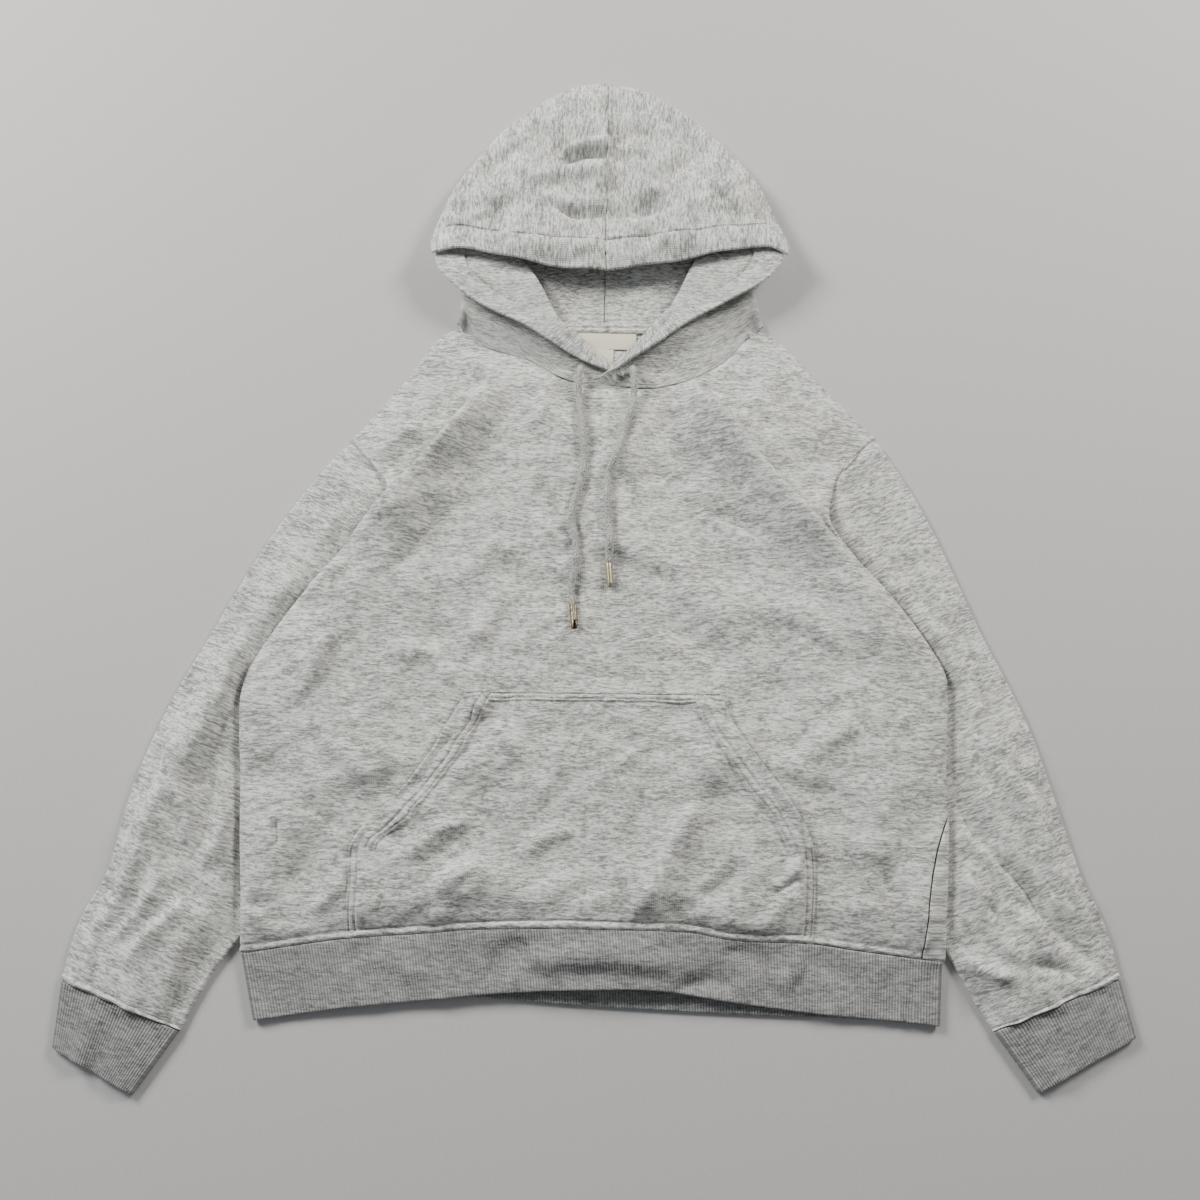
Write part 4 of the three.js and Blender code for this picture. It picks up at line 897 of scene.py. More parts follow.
sleeveRows = {
    "right": table(
        "outX outY inX inY bow puff",
        (-226, 209, -226, -75, 50, 0), (-245, 186, -229, -83, 47, 1.5), (-266, 156, -234, -97, 43, 3),
        (-286, 124, -240, -112, 38, 4), (-302, 94, -246, -128, 32, 5), (-318, 62, -252, -143, 26, 6),
        (-332, 32, -262, -168, 20, 6), (-349, -2, -272, -192, 15, 6), (-366, -42, -283, -214, 10, 6),
        (-377, -74, -292, -226, 7, 6), (-385, -102, -300, -237, 5, 6), (-391, -135, -308, -250, 3, 6),
        (-398, -170, -314, -262, 1, 6), (-412, -199, -319, -272, 0, 5), (-419, -224, -322, -280, 0, 4.5),
        (-423, -252, -326, -288, 0, 3),
    ),
    "left": table(
        "outX outY inX inY bow puff",
        (245, 221, 226, -75, 48, 0), (258, 200, 229, -83, 46, 1.5), (274, 173, 234, -97, 42, 3),
        (290, 141, 240, -112, 38, 4), (302, 112, 246, -128, 32, 5), (315, 80, 252, -143, 26, 6),
        (329, 45, 262, -168, 20, 6), (347, 6, 272, -192, 15, 6), (363, -32, 284, -213, 10, 6),
        (373, -64, 291, -225, 7, 6), (382, -96, 297, -236, 5, 6), (391, -130, 304, -248, 3, 6),
        (400, -160, 308, -256, 1, 6), (411, -184, 313, -263, 0, 5), (419, -211, 317, -270, 0, 4.5),
        (423, -235, 321, -276, 0, 3),
    ),
}
sleeveFolds = table(
    "x0 y0 x1 y1 wide high",
    (-262, 120, -330, -30, 15, 2.5), (-330, -60, -380, -180, 16, 3), (-300, 40, -325, -90, 12, -3),
    (-330, -180, -395, -225, 13, -3), (262, 130, 330, -10, 15, 2.5), (330, -50, 385, -170, 16, 3),
    (300, 50, 325, -80, 12, -3), (330, -170, 398, -215, 13, -3),
)
sleeveCreases = table(
    "x0 y0 x1 y1 bow wide high lean",
    (-208, 190, -246, 118, 5, 6, 2.0, 0.4), (-300, 92, -320, 48, 3, 5, -1.8, 0.3),
    (-262, 78, -292, -20, 4, 8, 2.2, 0.3), (-305, 27, -337, -76, 5, 8, 2.4, -0.3),
    (-334, -25, -364, -134, -5, 8, 2.2, 0.3), (-372, -60, -352, -120, 3, 6, -1.6, 0.3),
    (-351, -173, -386, -221, 4, 7, 2.2, 0.3), (-325, -188, -369, -236, -3, 6, 2.0, 0.3),
    (-318, -84, -324, -157, 3, 6, -1.5, 0.3), (-300, -110, -316, -160, 3, 6, 1.8, 0.3),
    (-350, -96, -330, -140, 4, 6, 1.6, -0.3), (-398, -176, -376, -196, 2, 5, -1.6, 0.3),
    (211, 181, 230, 137, 4, 9, -2.0, 0.3), (232, 140, 262, 92, 4, 8, -2.0, 0.3),
    (324, 20, 337, -32, -3, 5, -2.0, 0.4), (296, -70, 326, -143, -7, 6, -2.6, 0.5),
    (326, -143, 361, -186, 4, 5, -2.2, 0.4), (340, -68, 372, -90, 2, 6, -0.9, 0.3),
    (294, -222, 334, -236, -3, 5, 2.4, 0.3), (346, -10, 367, -95, 4, 9, 2.2, 0.3),
    (380, -151, 400, -198, 3, 7, 1.8, 0.3), (348, -226, 392, -236, 3, 5, -1.6, 0.3),
    (262, 66, 296, -5, 4, 9, 1.8, 0.3), (350, -186, 366, -222, 3, 6, 1.8, -0.3),
    (318, -180, 336, -206, 3, 6, -1.6, 0.3), (300, -150, 312, -190, 2, 6, 1.5, 0.3),
)


# valley is the width over which the cloth comes down to the edge of the body
sleeveSet = {"puff": 1.5, "folds": 1.4, "creases": 3.6, "valley": 17}


# Upper layer of a sleeve: arched across by puff, with its folds and creases, and flat under the body
def sleeveTop(x, y, place, puff):
    bare = ease((np.abs(x) - curve(bodySide, "y", "x", y) - 0.5) / sleeveSet["valley"])
    free = np.where(y < -229, 1, bare)
    detail = sleeveSet["creases"] * creaseHeight(sleeveCreases, x, y) + sleeveWear(x, y)
    height = np.maximum(0, sleeveSet["puff"] * puff + sleeveSet["folds"] * foldHeight(sleeveFolds, x, y))
    lift = between(place, 0.22) * height + between(place, 0.1) * detail * ease(puff / 3)
    return onTable + frontRise + free * np.maximum(lift, -0.1)


# A sleeve: flat rings carried along its two edge lines, from the armhole to the cuff
def sleeveWall(side):
    rows = dict(sleeveRows[side])
    rows["at"] = steps(0, 1, len(rows["outX"]))
    at = join([steps(0, 0.02, 6), steps(0.03, 0.955, 122), steps(0.96, 1, 26)])
    now = {key: curve(rows, "at", key, at) for key in ("outX", "outY", "inX", "inY", "bow", "puff")}
    outer, inner = np.stack([now["outX"], now["outY"]], 1), np.stack([now["inX"], now["inY"]], 1)
    beyond = 0.55 * ease((at - 0.96) / 0.04)[:, None] * np.array([-0.35 if side == "right" else 0.37, -0.93])
    outer, inner = outer + beyond, inner + beyond
    a, b = (inner, outer) if side == "right" else (outer, inner)
    x, y, place, share = flatRing(a, b, -now["bow"], fold, 72, 26)
    z = mix(onTable, sleeveTop(x, y, place, now["puff"][:, None]), share)
    length = np.array([-0.33, -0.944]) if side == "right" else np.array([0.36, -0.933])
    uv = roundUv(x * -length[1] + y * length[0], x * length[0] + y * length[1])
    tucked = (1 - ease(at / 0.02))[:, None] * share
    x = x - np.sign(rows["outX"][0]) * 2.4 * tucked
    z = z - 1.9 * tucked
    raised = seamRidge((1 - at) * bodyRun)[:, None] * share
    return clothWall(stacked(x, y, z), cloth, uv, raised, closed=True)


for side in ("right", "left"):
    meshPiece("sleeve_" + side + "_cloth", *sleeveWall(side), bodyCloth, "melange", ["sleeve_" + side])
print("sleeves made")


# Ribbed bands: a rib is one wave across, on both faces
ribSet = {"radius": 1.6, "depth": 0.75, "hemRibs": 240, "cuffRibs": 40, "pitch": 2.3, "creases": 2.2}
bandTop = rib / 2 + 2 * ribSet["radius"]
underRib = rib / 2 - 0.3 + ribSet["depth"] + 0.05     # middle of a band whose ribs touch the table


def ribWave(count, top, bottom, ribs):     # one wave for each rib along the upper and the lower layer
    upper = 0.5 - 0.5 * np.cos(2 * math.pi * ribs * steps(0, 1, top))
    lower = 0.5 - 0.5 * np.cos(2 * math.pi * ribs * steps(0, 1, bottom))
    wave = join([upper, np.zeros(9), lower, np.zeros(9)])
    return ribSet["depth"] * wave * np.ones((count, 1))


def ribPlace(top):       # place across in units of the rib's pitch, the same on both layers
    across = ribSet["pitch"] * steps(0, (top - 1) / 4, top)
    turn = np.zeros(9)
    return join([across, turn + across[-1], across[::-1], turn])[None, :]


# A cuff: flat rings carried straight from the seam to the free end, with ripples that grow on the way
def cuffWall(seamOut, seamIn, endOut, endIn, ripple):
    t = steps(0, 1, 15)[:, None]
    outer, inner = mix(np.array(seamOut), np.array(endOut), t), mix(np.array(seamIn), np.array(endIn), t)
    a, b = (inner, outer) if seamOut[0] < 0 else (outer, inner)
    top = 4 * ribSet["cuffRibs"] + 1
    x, y, place, share = flatRing(a, b, 0 * t[:, 0], ribSet["radius"], top, top)
    swell = 1.5 + ripple(place, t) * between(place, 0.1)
    z = mix(underRib, bandTop + swell * between(place, 0.3), share)
    raised = ribWave(len(t), top, top, ribSet["cuffRibs"])
    return clothWall(stacked(x, y, z), rib - 0.6, roundUv(ribPlace(top), t * 52), raised, closed=True)


def rightRipple(place, t):
    return t * (1.6 * np.sin(place * 9 + 0.6) + 1.0 * np.sin(place * 21))


def leftRipple(place, t):
    return t * (1.2 * np.sin(place * 7 + 2.0) + 0.5 * np.sin(place * 17))


cuffs = {
    "right": cuffWall((-423, -253), (-326.4, -288.9), (-424, -304), (-358, -337), rightRipple),
    "left": cuffWall((423, -236), (321.2, -276.9), (432, -280), (353, -322), leftRipple),
}
for side, wall in cuffs.items():
    meshPiece("cuff_" + side + "_rib", *wall, ribCloth, "ribbing", ["cuff_" + side])

frontHem = table(
    "x y",
    (-267, -280), (-193, -269), (-112, -260), (-76, -256), (-11, -252), (52, -251), (113, -259), (175, -266),
    (245, -271), (277, -274),
)
backHem = table(
    "x y",
    (-267, -280), (-193, -268), (-103, -260), (-11, -264), (73, -267), (154, -269), (207, -270), (277, -274),
)
hemCreases = table(
    "x0 y0 x1 y1 bow wide high lean",
    (-78, -250, -48, -216, 3, 9, -2.2, 0.4), (-50, -232, 70, -233, 5, 10, 2.6, 0.3),
    (66, -250, 118, -246, 3, 6, -1.8, 0.3), (106, -219, 143, -230, 3, 7, -2.2, 0.3),
    (151, -247, 168, -224, -2, 7, 1.8, 0.3), (-180, -230, -130, -246, 3, 10, 1.2, 0.3),
    (180, -226, 216, -250, 3, 9, -1.3, 0.3), (251, -256, 250, -272, 0, 3, -1.6, 0.2),
)


# The hem band: flat rings carried from the hem seam to the free edges, front and back each with its line
def hemWall():
    t = steps(0, 1, 12)[:, None]
    top = 4 * ribSet["hemRibs"] + 1
    right, left = mix(281, 277, t), mix(-281, -267, t)
    zero = 0 * t
    a, b = join([right, zero], 1), join([left, zero], 1)
    x, _, _, share = flatRing(a, b, zero[:, 0], ribSet["radius"], top, top)
    place = (x - left) / (right - left)
    seamY = hemSeamAt(mix(-281, 281, place)) - 0.15
    endX = mix(-267, 277, place)
    endY = mix(curve(backHem, "x", "y", endX), curve(frontHem, "x", "y", endX), share)
    y = mix(seamY, endY, t)
    underPocket = ease((x + 204) / 14) * ease((184 - x) / 14) * (1 - ease(t / 0.3))
    ground = underRib + sleeveStack * onSleeve(x, y)
    detail = creaseHeight(hemCreases, x, y) + 0.35 * worn(x, y, 77)
    inside = between(place, 0.04) * ease((t + 0.05) / 0.3)
    detail = np.maximum(ribSet["creases"] * detail * inside, -1.2 - hemLift(x) * 0.6)
    lift = hemLift(x) + 0.9 * underPocket + detail
    z = ground + share * (2 * ribSet["radius"] + lift)
    raised = ribWave(len(t), top, top, ribSet["hemRibs"])
    return clothWall(stacked(x, y, z), rib - 0.6, roundUv(ribPlace(top), y), raised, raised, closed=True)


meshPiece("hemBand", *hemWall(), ribCloth, "ribbing", ["hem_band"])
print("ribbed bands made")


# Dropping points on to a piece that is already made
def surfaceOf(*pieces):
    bpy.context.view_layer.update()
    depsgraph = bpy.context.evaluated_depsgraph_get()
    trees = [BVHTree.FromObject(piece, depsgraph) for piece in pieces]

    def height(x, y):
        down, start = Vector((0, 0, -1)), 0.2
        found = []
        for px, py in zip(np.ravel(x) * mm, np.ravel(y) * mm):
            hits = [tree.ray_cast(Vector((px, py, start)), down)[0] for tree in trees]
            found.append(max((hit.z for hit in hits if hit), default=0.0) / mm)
        return np.array(found).reshape(np.shape(x))
    return height


onFront = surfaceOf(frontPanel)

# Kangaroo pocket: the front panel's surface moved out, with its own puckers and a turned hem at each opening
pocketSides = table(
    "y left right",
    (-216, -198, 178), (-190, -198, 179), (-169, -198, 180), (-137, -197, 178), (-112, -174, 167),
    (-90, -154, 152), (-62, -134, 131), (-39, -122, 115), (-14, -110, 103),
)
pocketCreases = table(
    "x0 y0 x1 y1 bow wide high lean",
    (-118, -104, -76, -80, 3, 4, -1.7, 0.3), (-172, -203, -143, -179, 3, 5, -2.6, 0.4),
    (-149, -153, -100, -119, 4, 7, 2.0, 0.3), (-33, -194, 7, -172, 3, 4, -2.4, 0.4),
    (25, -166, 25, -199, 1, 2.6, -2.2, 0.4), (80, -103, 60, -137, 3, 8, 2.4, 0.6),
    (60, -137, 28, -197, 2, 8, 3.0, 0.6), (58, -199, 84, -185, 3, 5, -2.4, 0.3),
    (141, -184, 164, -162, 3, 6, -2.2, 0.3), (146, -172, 168, -148, -2, 5, 2.0, 0.3),
    (-92, -186, -68, -204, 3, 6, -2.0, 0.3), (37, -93, 22, -142, 4, 7, -1.4, 0.3),
    (-30, -54, -45, -103, 4, 9, 1.2, 0.3), (119, -148, 87, -180, 4, 7, -1.5, 0.3),
    (-120, -178, -96, -158, 3, 6, 1.8, 0.3), (-60, -150, -20, -128, 4, 9, 1.6, 0.3),
    (-160, -140, -132, -118, 2, 5, -1.4, 0.3), (-98, -58, -84, -36, 3, 7, -1.4, 0.3),
    (84, -60, 100, -92, 3, 8, 1.2, 0.3), (-10, -206, 40, -202, 2, 5, 1.4, 0.3),
    (100, -204, 150, -206, 3, 6, 2.0, 0.3), (-140, -208, -110, -196, 2, 5, 1.8, 0.3),
)


# Rows of stitches are distances from an edge; groove is how deep they are drawn in, and how wide
pocketHem = dict(rows=(14.0, 19.5), topRows=(2.2, 7.0), sideRows=(1.8, 7.0), thick=2.4, stand=3.2)
pocketSet = {"creases": 3.4, "wear": 0.8, "groove": (1.5, 0.95)}


# A pressed row of stitches at distance d from an edge
def stitchGroove(d, row):
    deep, wide = pocketSet["groove"]
    return deep * bell(d - row, wide)


# The pocket: rows from the hem seam to the top, each from side to side, a little above the front panel
def pocketWall():
    top = join([steps(0, 10, 27), steps(11, 188, 92)])
    t = join([steps(0, 9.5, 20) / 198, 1 - top[::-1] / 198])[:, None]
    level = mix(-212, -14, t)
    left, right = curve(pocketSides, "y", "left", level), curve(pocketSides, "y", "right", level)
    fromSide = steps(0, 30, 56)[None, :]
    between = steps(0, 1, 76)[None, 1:-1]
    x = join([left + fromSide, mix(left + 30, right - 30, between), right - fromSide[:, ::-1]], axis=1)
    place = (x - left) / (right - left)
    y = mix(hemSeamAt(x) + 0.4, -14 + 2 * place, t)
    slopes = [np.gradient(edge[:, 0], level[:, 0])[:, None] for edge in (left, right)]
    side = np.minimum((x - left) / np.hypot(1, slopes[0]), (right - x) / np.hypot(1, slopes[1]))
    above = y - hemSeamAt(x)
    fromTop = (1 - t) * 198 + 0 * x
    slanted = ease((level + 150) / 16)
    inside = ease(side / 12) * ease(above / 20) * ease(fromTop / 12)
    detail = pocketSet["creases"] * creaseHeight(pocketCreases, x, y)
    detail = detail + pocketSet["wear"] * worn(x, y, 90) + 2.4
    stand = pocketHem["stand"] * slanted * (1 - ease(side / 9)) * (1 + 0.7 * np.sin(y / 17 + np.sign(x)))
    z = onFront(x, y) + cloth / 2 + 0.45 + stand + inside * np.maximum(detail, -0.3)
    z = z - 1.1 * (1 - ease(above / 9))
    hem = pocketHem["thick"] * (1 - ease((side - 20.5) / 1.6)) * slanted
    topHem = pocketHem["thick"] * (1 - ease((fromTop - 7.8) / 1.6))
    rows = sum(stitchGroove(side, row) for row in pocketHem["rows"]) * slanted
    rows = rows + sum(stitchGroove(side, row) for row in pocketHem["sideRows"]) * (1 - slanted)
    rows = rows + sum(stitchGroove(fromTop, row) for row in pocketHem["topRows"])
    raised = np.maximum(hem, topHem) - rows * ease(above / 6) + seamRidge(above)
    return clothWall(stacked(x, y, z), cloth, stacked(x, y), raised)


pocket = meshPiece("kangarooPocket", *pocketWall(), bodyCloth, "melange", ["pocket"])
print("pocket made")


# Hood
domes = {
    "right": table(
        "place x y z",
        (0.00, -160, 398, 24), (0.12, -155, 424, 17), (0.29, -144, 461, 11), (0.45, -125, 494, 8),
        (0.62, -98, 530, 7), (0.80, -61, 562, 6), (0.91, -29, 579, 6), (1.00, 0, 584, 6),
    ),
    "left": table(
        "place x y z",
        (0.00, 168, 400, 24), (0.13, 157, 432, 17), (0.31, 142, 472, 11), (0.50, 118, 506, 8),
        (0.70, 79, 545, 7), (0.88, 35, 574, 6), (1.00, 0, 584, 6),
    ),
}
mouths = {
    "right": table("place x y z", (0, -158, 387, 27.5), (0.17, -131, 391, 28.5), (0.37, -99, 387, 27.5),
                   (0.7, -46, 378, 23), (1, 0, 376, 20.5)),
    "left": table("place x y z", (0, 166, 391, 27.5), (0.12, 147, 398, 28.5), (0.31, 115, 395, 27.5),
                  (0.62, 62, 384, 24.5), (1, 0, 376, 20.5)),
}
hoodFolds = table(
    "x0 y0 x1 y1 wide high",
    (4, 560, -8, 470, 12, 2.5), (-60, 520, -25, 440, 14, -2), (70, 505, 40, 440, 14, -2),
)
domeCreases = table(
    "x0 y0 x1 y1 bow wide high lean",
    (-62, 486, 2, 520, 9, 6, -1.3, 0.4), (-46, 494, 4, 503, 5, 5, 2.2, 0.4),
    (-40, 488, 4, 492, 3, 4, -2.4, 0.3), (-2, 511, 44, 520, -4, 8, -2.6, 0.3),
    (2, 500, 46, 502, 4, 6, 1.8, 0.3), (-70, 470, -4, 472, 6, 8, 1.8, 0.3),
    (-48, 440, 2, 430, -6, 5, -1.7, 0.4), (-60, 450, -2, 444, -5, 7, 2.2, 0.3),
    (5, 430, 55, 441, -3, 6, -2.2, 0.3), (46, 462, 92, 510, -5, 9, -2.4, 0.3),
    (30, 448, 80, 478, 4, 8, 1.8, 0.3), (92, 470, 124, 440, 3, 10, 1.5, 0.3),
    (-118, 464, -84, 508, 4, 12, -1.8, 0.3), (-130, 430, -96, 452, 4, 10, 1.4, 0.3),
    (-8, 540, 6, 566, 2, 7, -1.4, 0.3),
)
neckCorners = {"right": (-127, 327), "left": (136, 329)}
ways = {"right": -1, "left": 1}
hoodHem = {"deep": 28, "thick": 1.5}
hoodSet = {"folds": 1.6, "creases": 4.2, "wear": 2.0}


# The bag of one half: an under layer from the back of the neck to the silhouette, and an upper layer back to
# the mouth. Columns run from the side to the centre seam; upper rows near the mouth are set by distance.
def hoodBag(side):
    way = ways[side]
    place = steps(0, 1, 68)[None, :] ** 0.92
    edge = [curve(domes[side], "place", key, place) for key in "xyz"]
    mouth = [curve(mouths[side], "place", key, place) for key in "xyz"]
    corner = neckCorners[side]
    reach = 6 + (edge[2] - 6) * 1.3
    seamX = way * seamGap

    close = 0.9 + 0.092 * (1 - (1 - steps(0.1, 1, 12)) ** 2)
    share = join([steps(0, 0.9, 40), close])[:, None]
    x = mix(mix(corner[0], 0, place), edge[0], share)
    y = mix(mix(corner[1], 327.6, ease(place * 2)), edge[1], share)
    near = np.clip(np.hypot(edge[0] - x, edge[1] - y) / reach, 0, 1)
    x = x - way * 18 * np.sin(math.pi * share) ** 0.7 * (1 - place) ** 4
    z = mix(edge[2] + 0 * x, onTable, rounded(near))
    z = z + 7.0 * ease(share / 0.35) * ease((0.8 - share) / 0.35) * ease(place / 0.4)
    z = np.maximum(onTable, z + 0.7 * worn(x, y, 71) * ease(share / 0.2) * ease((0.9 - share) / 0.2))
    under = stacked(x, y, z)

    span = np.hypot(edge[0] - mouth[0], edge[1] - mouth[1])
    tight = np.minimum(1, span / 44)
    close = [steps(42, 31, 10), steps(30.3, 25.7, 12), steps(25, 0, 25)]
    close = join(close)[:, None]
    far = mix(1.0, 0.0, steps(0, 1, 52)[:-1] ** 1.6)[:, None]
    distance = join([mix(42 * tight, span, far), close * tight])
    distance = np.minimum(distance, span * 0.9995)
    share = 1 - distance / span
    x, y = mix(mouth[0], edge[0], 1 - share), mix(mouth[1], edge[1], 1 - share)
    near = np.clip(np.hypot(edge[0] - x, edge[1] - y) / reach, 0, 1)
    arch = 1 - (1 - share) ** 1.6
    z = edge[2] + 4 * rounded(near) + (mouth[2] - edge[2] - 4) * arch
    z = z + hoodSet["folds"] * foldHeight(hoodFolds, x, y) * ease(share / 0.15) * ease((1 - share) / 0.3)
    calm = ease(share / 0.12) * ease(distance / 20)
    detail = hoodSet["creases"] * creaseHeight(domeCreases, x, y) + hoodSet["wear"] * worn(x, y, 55)
    z = z + calm * np.maximum(detail, np.where(y < 430, -2.0, -6.0))
    z = z + 1.4 * np.sin(place * 17 + way) * (1 - ease(distance / 30)) * ease(place / 0.1)
    z = z + 1.6 * np.sin(math.pi * np.clip(distance / tight / 28, 0, 1)) * ease(place / 0.1)
    grid = join([under, stacked(x, y, z)])
    pull = ease((place - 0.92) / 0.08)
    grid[..., 0] = mix(grid[..., 0], seamX, pull)
    turned = ease((np.arange(len(grid)) - 30) / 14)[:, None]
    u = mix(grid[..., 0], grid[..., 1] - 900, turned)
    v = mix(grid[..., 1], -grid[..., 0] - 500, turned)
    d = join([999 + 0 * under[..., 0], distance / tight])
    hem = hoodHem["thick"] * (1 - ease((d - hoodHem["deep"] + 1) / 2))
    groove = 2.7 * bell(d - hoodHem["deep"], 1.2)
    part = (hoodHem["deep"] * tight / span)[0, 3:-1]
    sewnLines["dome_" + side] = np.stack([
        mix(mouth[0][0, 3:-1], edge[0][0, 3:-1], part), mix(mouth[1][0, 3:-1], edge[1][0, 3:-1], part)
    ], axis=1)
    return [part[:, ::-way] for part in (grid, stacked(u, v), hem - groove)]


flaps = {
    "right": table(
        "edgeX edgeY edgeZ rollX rollY rollZ sideX sideY sideZ",
        (36, 270, 6.6, 26, 271, 6, -135, 328, 4.2), (8, 281, 7.4, 2, 293, 6.8, -133, 334, 4.2),
        (-18, 290, 12, -14, 304, 10.5, -132, 341, 4.2), (-46, 305, 17, -28, 318, 14.5, -131, 348, 4.2),
        (-72, 320, 21, -41, 329, 15.5, -131, 356, 4.2), (-102, 334, 22.5, -50, 344, 16, -132, 363, 4.4),
        (-129, 350, 23.5, -58, 360, 16, -136, 371, 5), (-148, 367, 24.5, -67, 375, 16, -143, 379, 6),
        (-155, 381, 24, -78, 388, 15.5, -149, 387, 7), (-155, 394, 21.5, -95, 400, 14.5, -152, 398, 8),
        (-150, 408, 18, -115, 412, 13, -149, 410, 8),
    ),
    "left": table(
        "edgeX edgeY edgeZ rollX rollY rollZ sideX sideY sideZ",
        (-9, 272, 11.8, 1, 273, 11.2, 146, 330, 4.2), (11, 281, 14.4, 20, 295, 13.4, 144, 335, 4.2),
        (28, 292, 18.5, 33, 309, 15, 142, 341, 4.2), (50, 306, 20, 46, 325, 15.5, 141, 348, 4.2),
        (78, 327, 21.5, 57, 338, 16, 139, 356, 4.2), (110, 345, 23, 66, 353, 16, 138, 365, 4.4),
        (142, 364, 24, 73, 368, 16, 143, 374, 5), (156, 377, 24.5, 79, 382, 16, 150, 383, 6),
        (162, 388, 24, 88, 395, 15.5, 156, 392, 7), (162, 400, 21.5, 105, 407, 14.5, 159, 403, 8),
        (157, 412, 18, 125, 417, 13, 156, 415, 8),
    ),
}


def neckSeamAt(x):       # the front panel's edge at the neck seam
    top = frontGrid[-1]
    return np.interp(x, top[:, 0], top[:, 1])


def neckTopAt(x):        # and its height
    top = frontGrid[-1]
    return np.interp(x, top[:, 0], top[:, 2])


# Smooth line through points (rows, places, 3): cubic pieces with the slopes of their neighbours, weighted to
# the nearer one; pieces lists the number of points on each
def through(points, pieces):
    gap = np.linalg.norm(np.diff(points, axis=1), axis=2, keepdims=True) + 1e-9
    secant = np.diff(points, axis=1) / gap
    slope = join([
        secant[:, :1],
        (secant[:, :-1] * gap[:, 1:] + secant[:, 1:] * gap[:, :-1]) / (gap[:, :-1] + gap[:, 1:]),
        secant[:, -1:],
    ], axis=1)
    out = []
    for k, count in enumerate(pieces):
        t = steps(0, 1, count, endpoint=False)[None, :, None]
        p, q, h = points[:, k:k + 1], points[:, k + 1:k + 2], gap[:, k:k + 1]
        m, n = slope[:, k:k + 1] * h, slope[:, k + 1:k + 2] * h
        out.append((2 * t**3 - 3 * t**2 + 1) * p + (t**3 - 2 * t**2 + t) * m + (3 * t**2 - 2 * t**3) * q
                   + (t**3 - t**2) * n)
    return join([*out, points[:, -1:]], axis=1)


# The front flap of one half: from the free edge, inner face up, to the roll line, back underneath to the side
# and on to the under layer of the bag. The first rows follow the neck seam.
def hoodFlap(side):
    way = ways[side]
    rows = dict(flaps[side])
    rows["at"] = np.arange(len(rows["edgeX"]), dtype=float)
    at = steps(0, len(rows["edgeX"]) - 1, 108)

    def spot(name):
        return stacked(*(curve(rows, "at", name + axis, at) for axis in "XYZ"))

    def unit(vector):
        flat = vector * (1, 1, 0)
        return flat / np.linalg.norm(flat, axis=1, keepdims=True)

    def off(point, direction, distance, z):
        moved = point + direction * np.reshape(distance, (-1, 1))
        moved[:, 2] = z
        return moved

    edge, roll, sideTip = spot("edge"), spot("roll"), spot("side")
    edge[:, 2] += 0.7 * np.sin(at * 2.3 + way) * ease(at / 2) * ease((10 - at) / 2)
    outward, toEdge = unit(sideTip - roll), unit(edge - roll)
    width = np.hypot(*(edge - roll)[:, :2].T)
    near = np.minimum(6, width * 0.4)
    top = off(roll, toEdge, near, roll[:, 2] + 1.5)
    below = off(roll, outward, 6 + 0 * at, roll[:, 2] - 2.2)
    sideTop = off(sideTip, outward, -7 + 0 * at, sideTip[:, 2] + 1.7)
    sewn = np.maximum(0, 1 - at / 5)
    joined = sewn * ease(2 - at / 1.5)       # the first rows come down to the body's edge
    stretch = []
    for q in steps(0, 1, 8):
        chord = mix(roll[0], sideTip[0], mix(0.04, 0.95, q))
        point = mix(below, sideTop, q)
        point[:, 1] += sewn * (neckSeamAt(chord[0]) + 0.3 - chord[1])
        point[:, 2] += sewn * 2 * math.sin(math.pi * q)
        over = 1.7 * (1 - ease((chord[0] - 34) / 14)) if way > 0 else -1.0 * ease((chord[0] + 24) / 14)
        point[:, 2] = mix(point[:, 2], neckTopAt(chord[0]) + over, joined)
        stretch.append(point)
    low = onTable + 0.05
    controls = np.stack([
        edge, mix(edge, top, 0.5), top, off(roll, toEdge, near * 0.15, roll[:, 2] + 0.9), roll,
        off(roll, outward, 1 + 0 * at, roll[:, 2] - 1.2), *stretch,
        off(sideTip, outward, -1.2 + 0 * at, sideTip[:, 2] + 0.9), sideTip,
        off(sideTip, outward, -1.2 + 0 * at, mix(sideTip[:, 2], onTable, 0.55)),
        sideTip * (1, 1, 0) + (-8 * way, 2, low), sideTip * (1, 1, 0) + (-24 * way, 4, low),
    ], axis=1)
    grid = through(controls, [30, 30, 4, 3, 3, 5, 7, 6, 6, 6, 6, 6, 7, 4, 3, 3, 3, 6])
    run = np.cumsum(np.insert(np.linalg.norm(np.diff(grid, axis=1), axis=2), 0, 0, axis=1), axis=1)
    climb = np.cumsum(np.insert(np.linalg.norm(np.diff(grid[:, 30], axis=0), axis=1), 0, 0))
    inner = 1 - ease((run - width[:, None] + 4) / 6)
    outerPart = ease((run - width[:, None] - 8) / 12) * ease((width[:, None] + 90 - run) / 20)
    swell = 0.55 * worn(grid[..., 0], grid[..., 1], 63)
    grid[..., 2] += inner * ease(run / 8) * swell * 0.7 + outerPart * swell * 0.6
    grid[..., 2] = np.maximum(grid[..., 2], onTable)
    uv = stacked(run, climb[:, None])
    line = hoodHem["deep"]
    hem = 1.1 * (1 - ease((run - line + 1) / 2))
    groove = 1.7 * bell(run - line, 1.0) * ease(at / 1.2)[:, None]
    sewnLines["flap_" + side] = np.array([
        [np.interp(line, r, row[:, k]) for k in (0, 1)] for r, row in zip(run[9:94], grid[9:94])
    ])
    return [part[:, ::-way] for part in (grid, uv, hem - groove)]


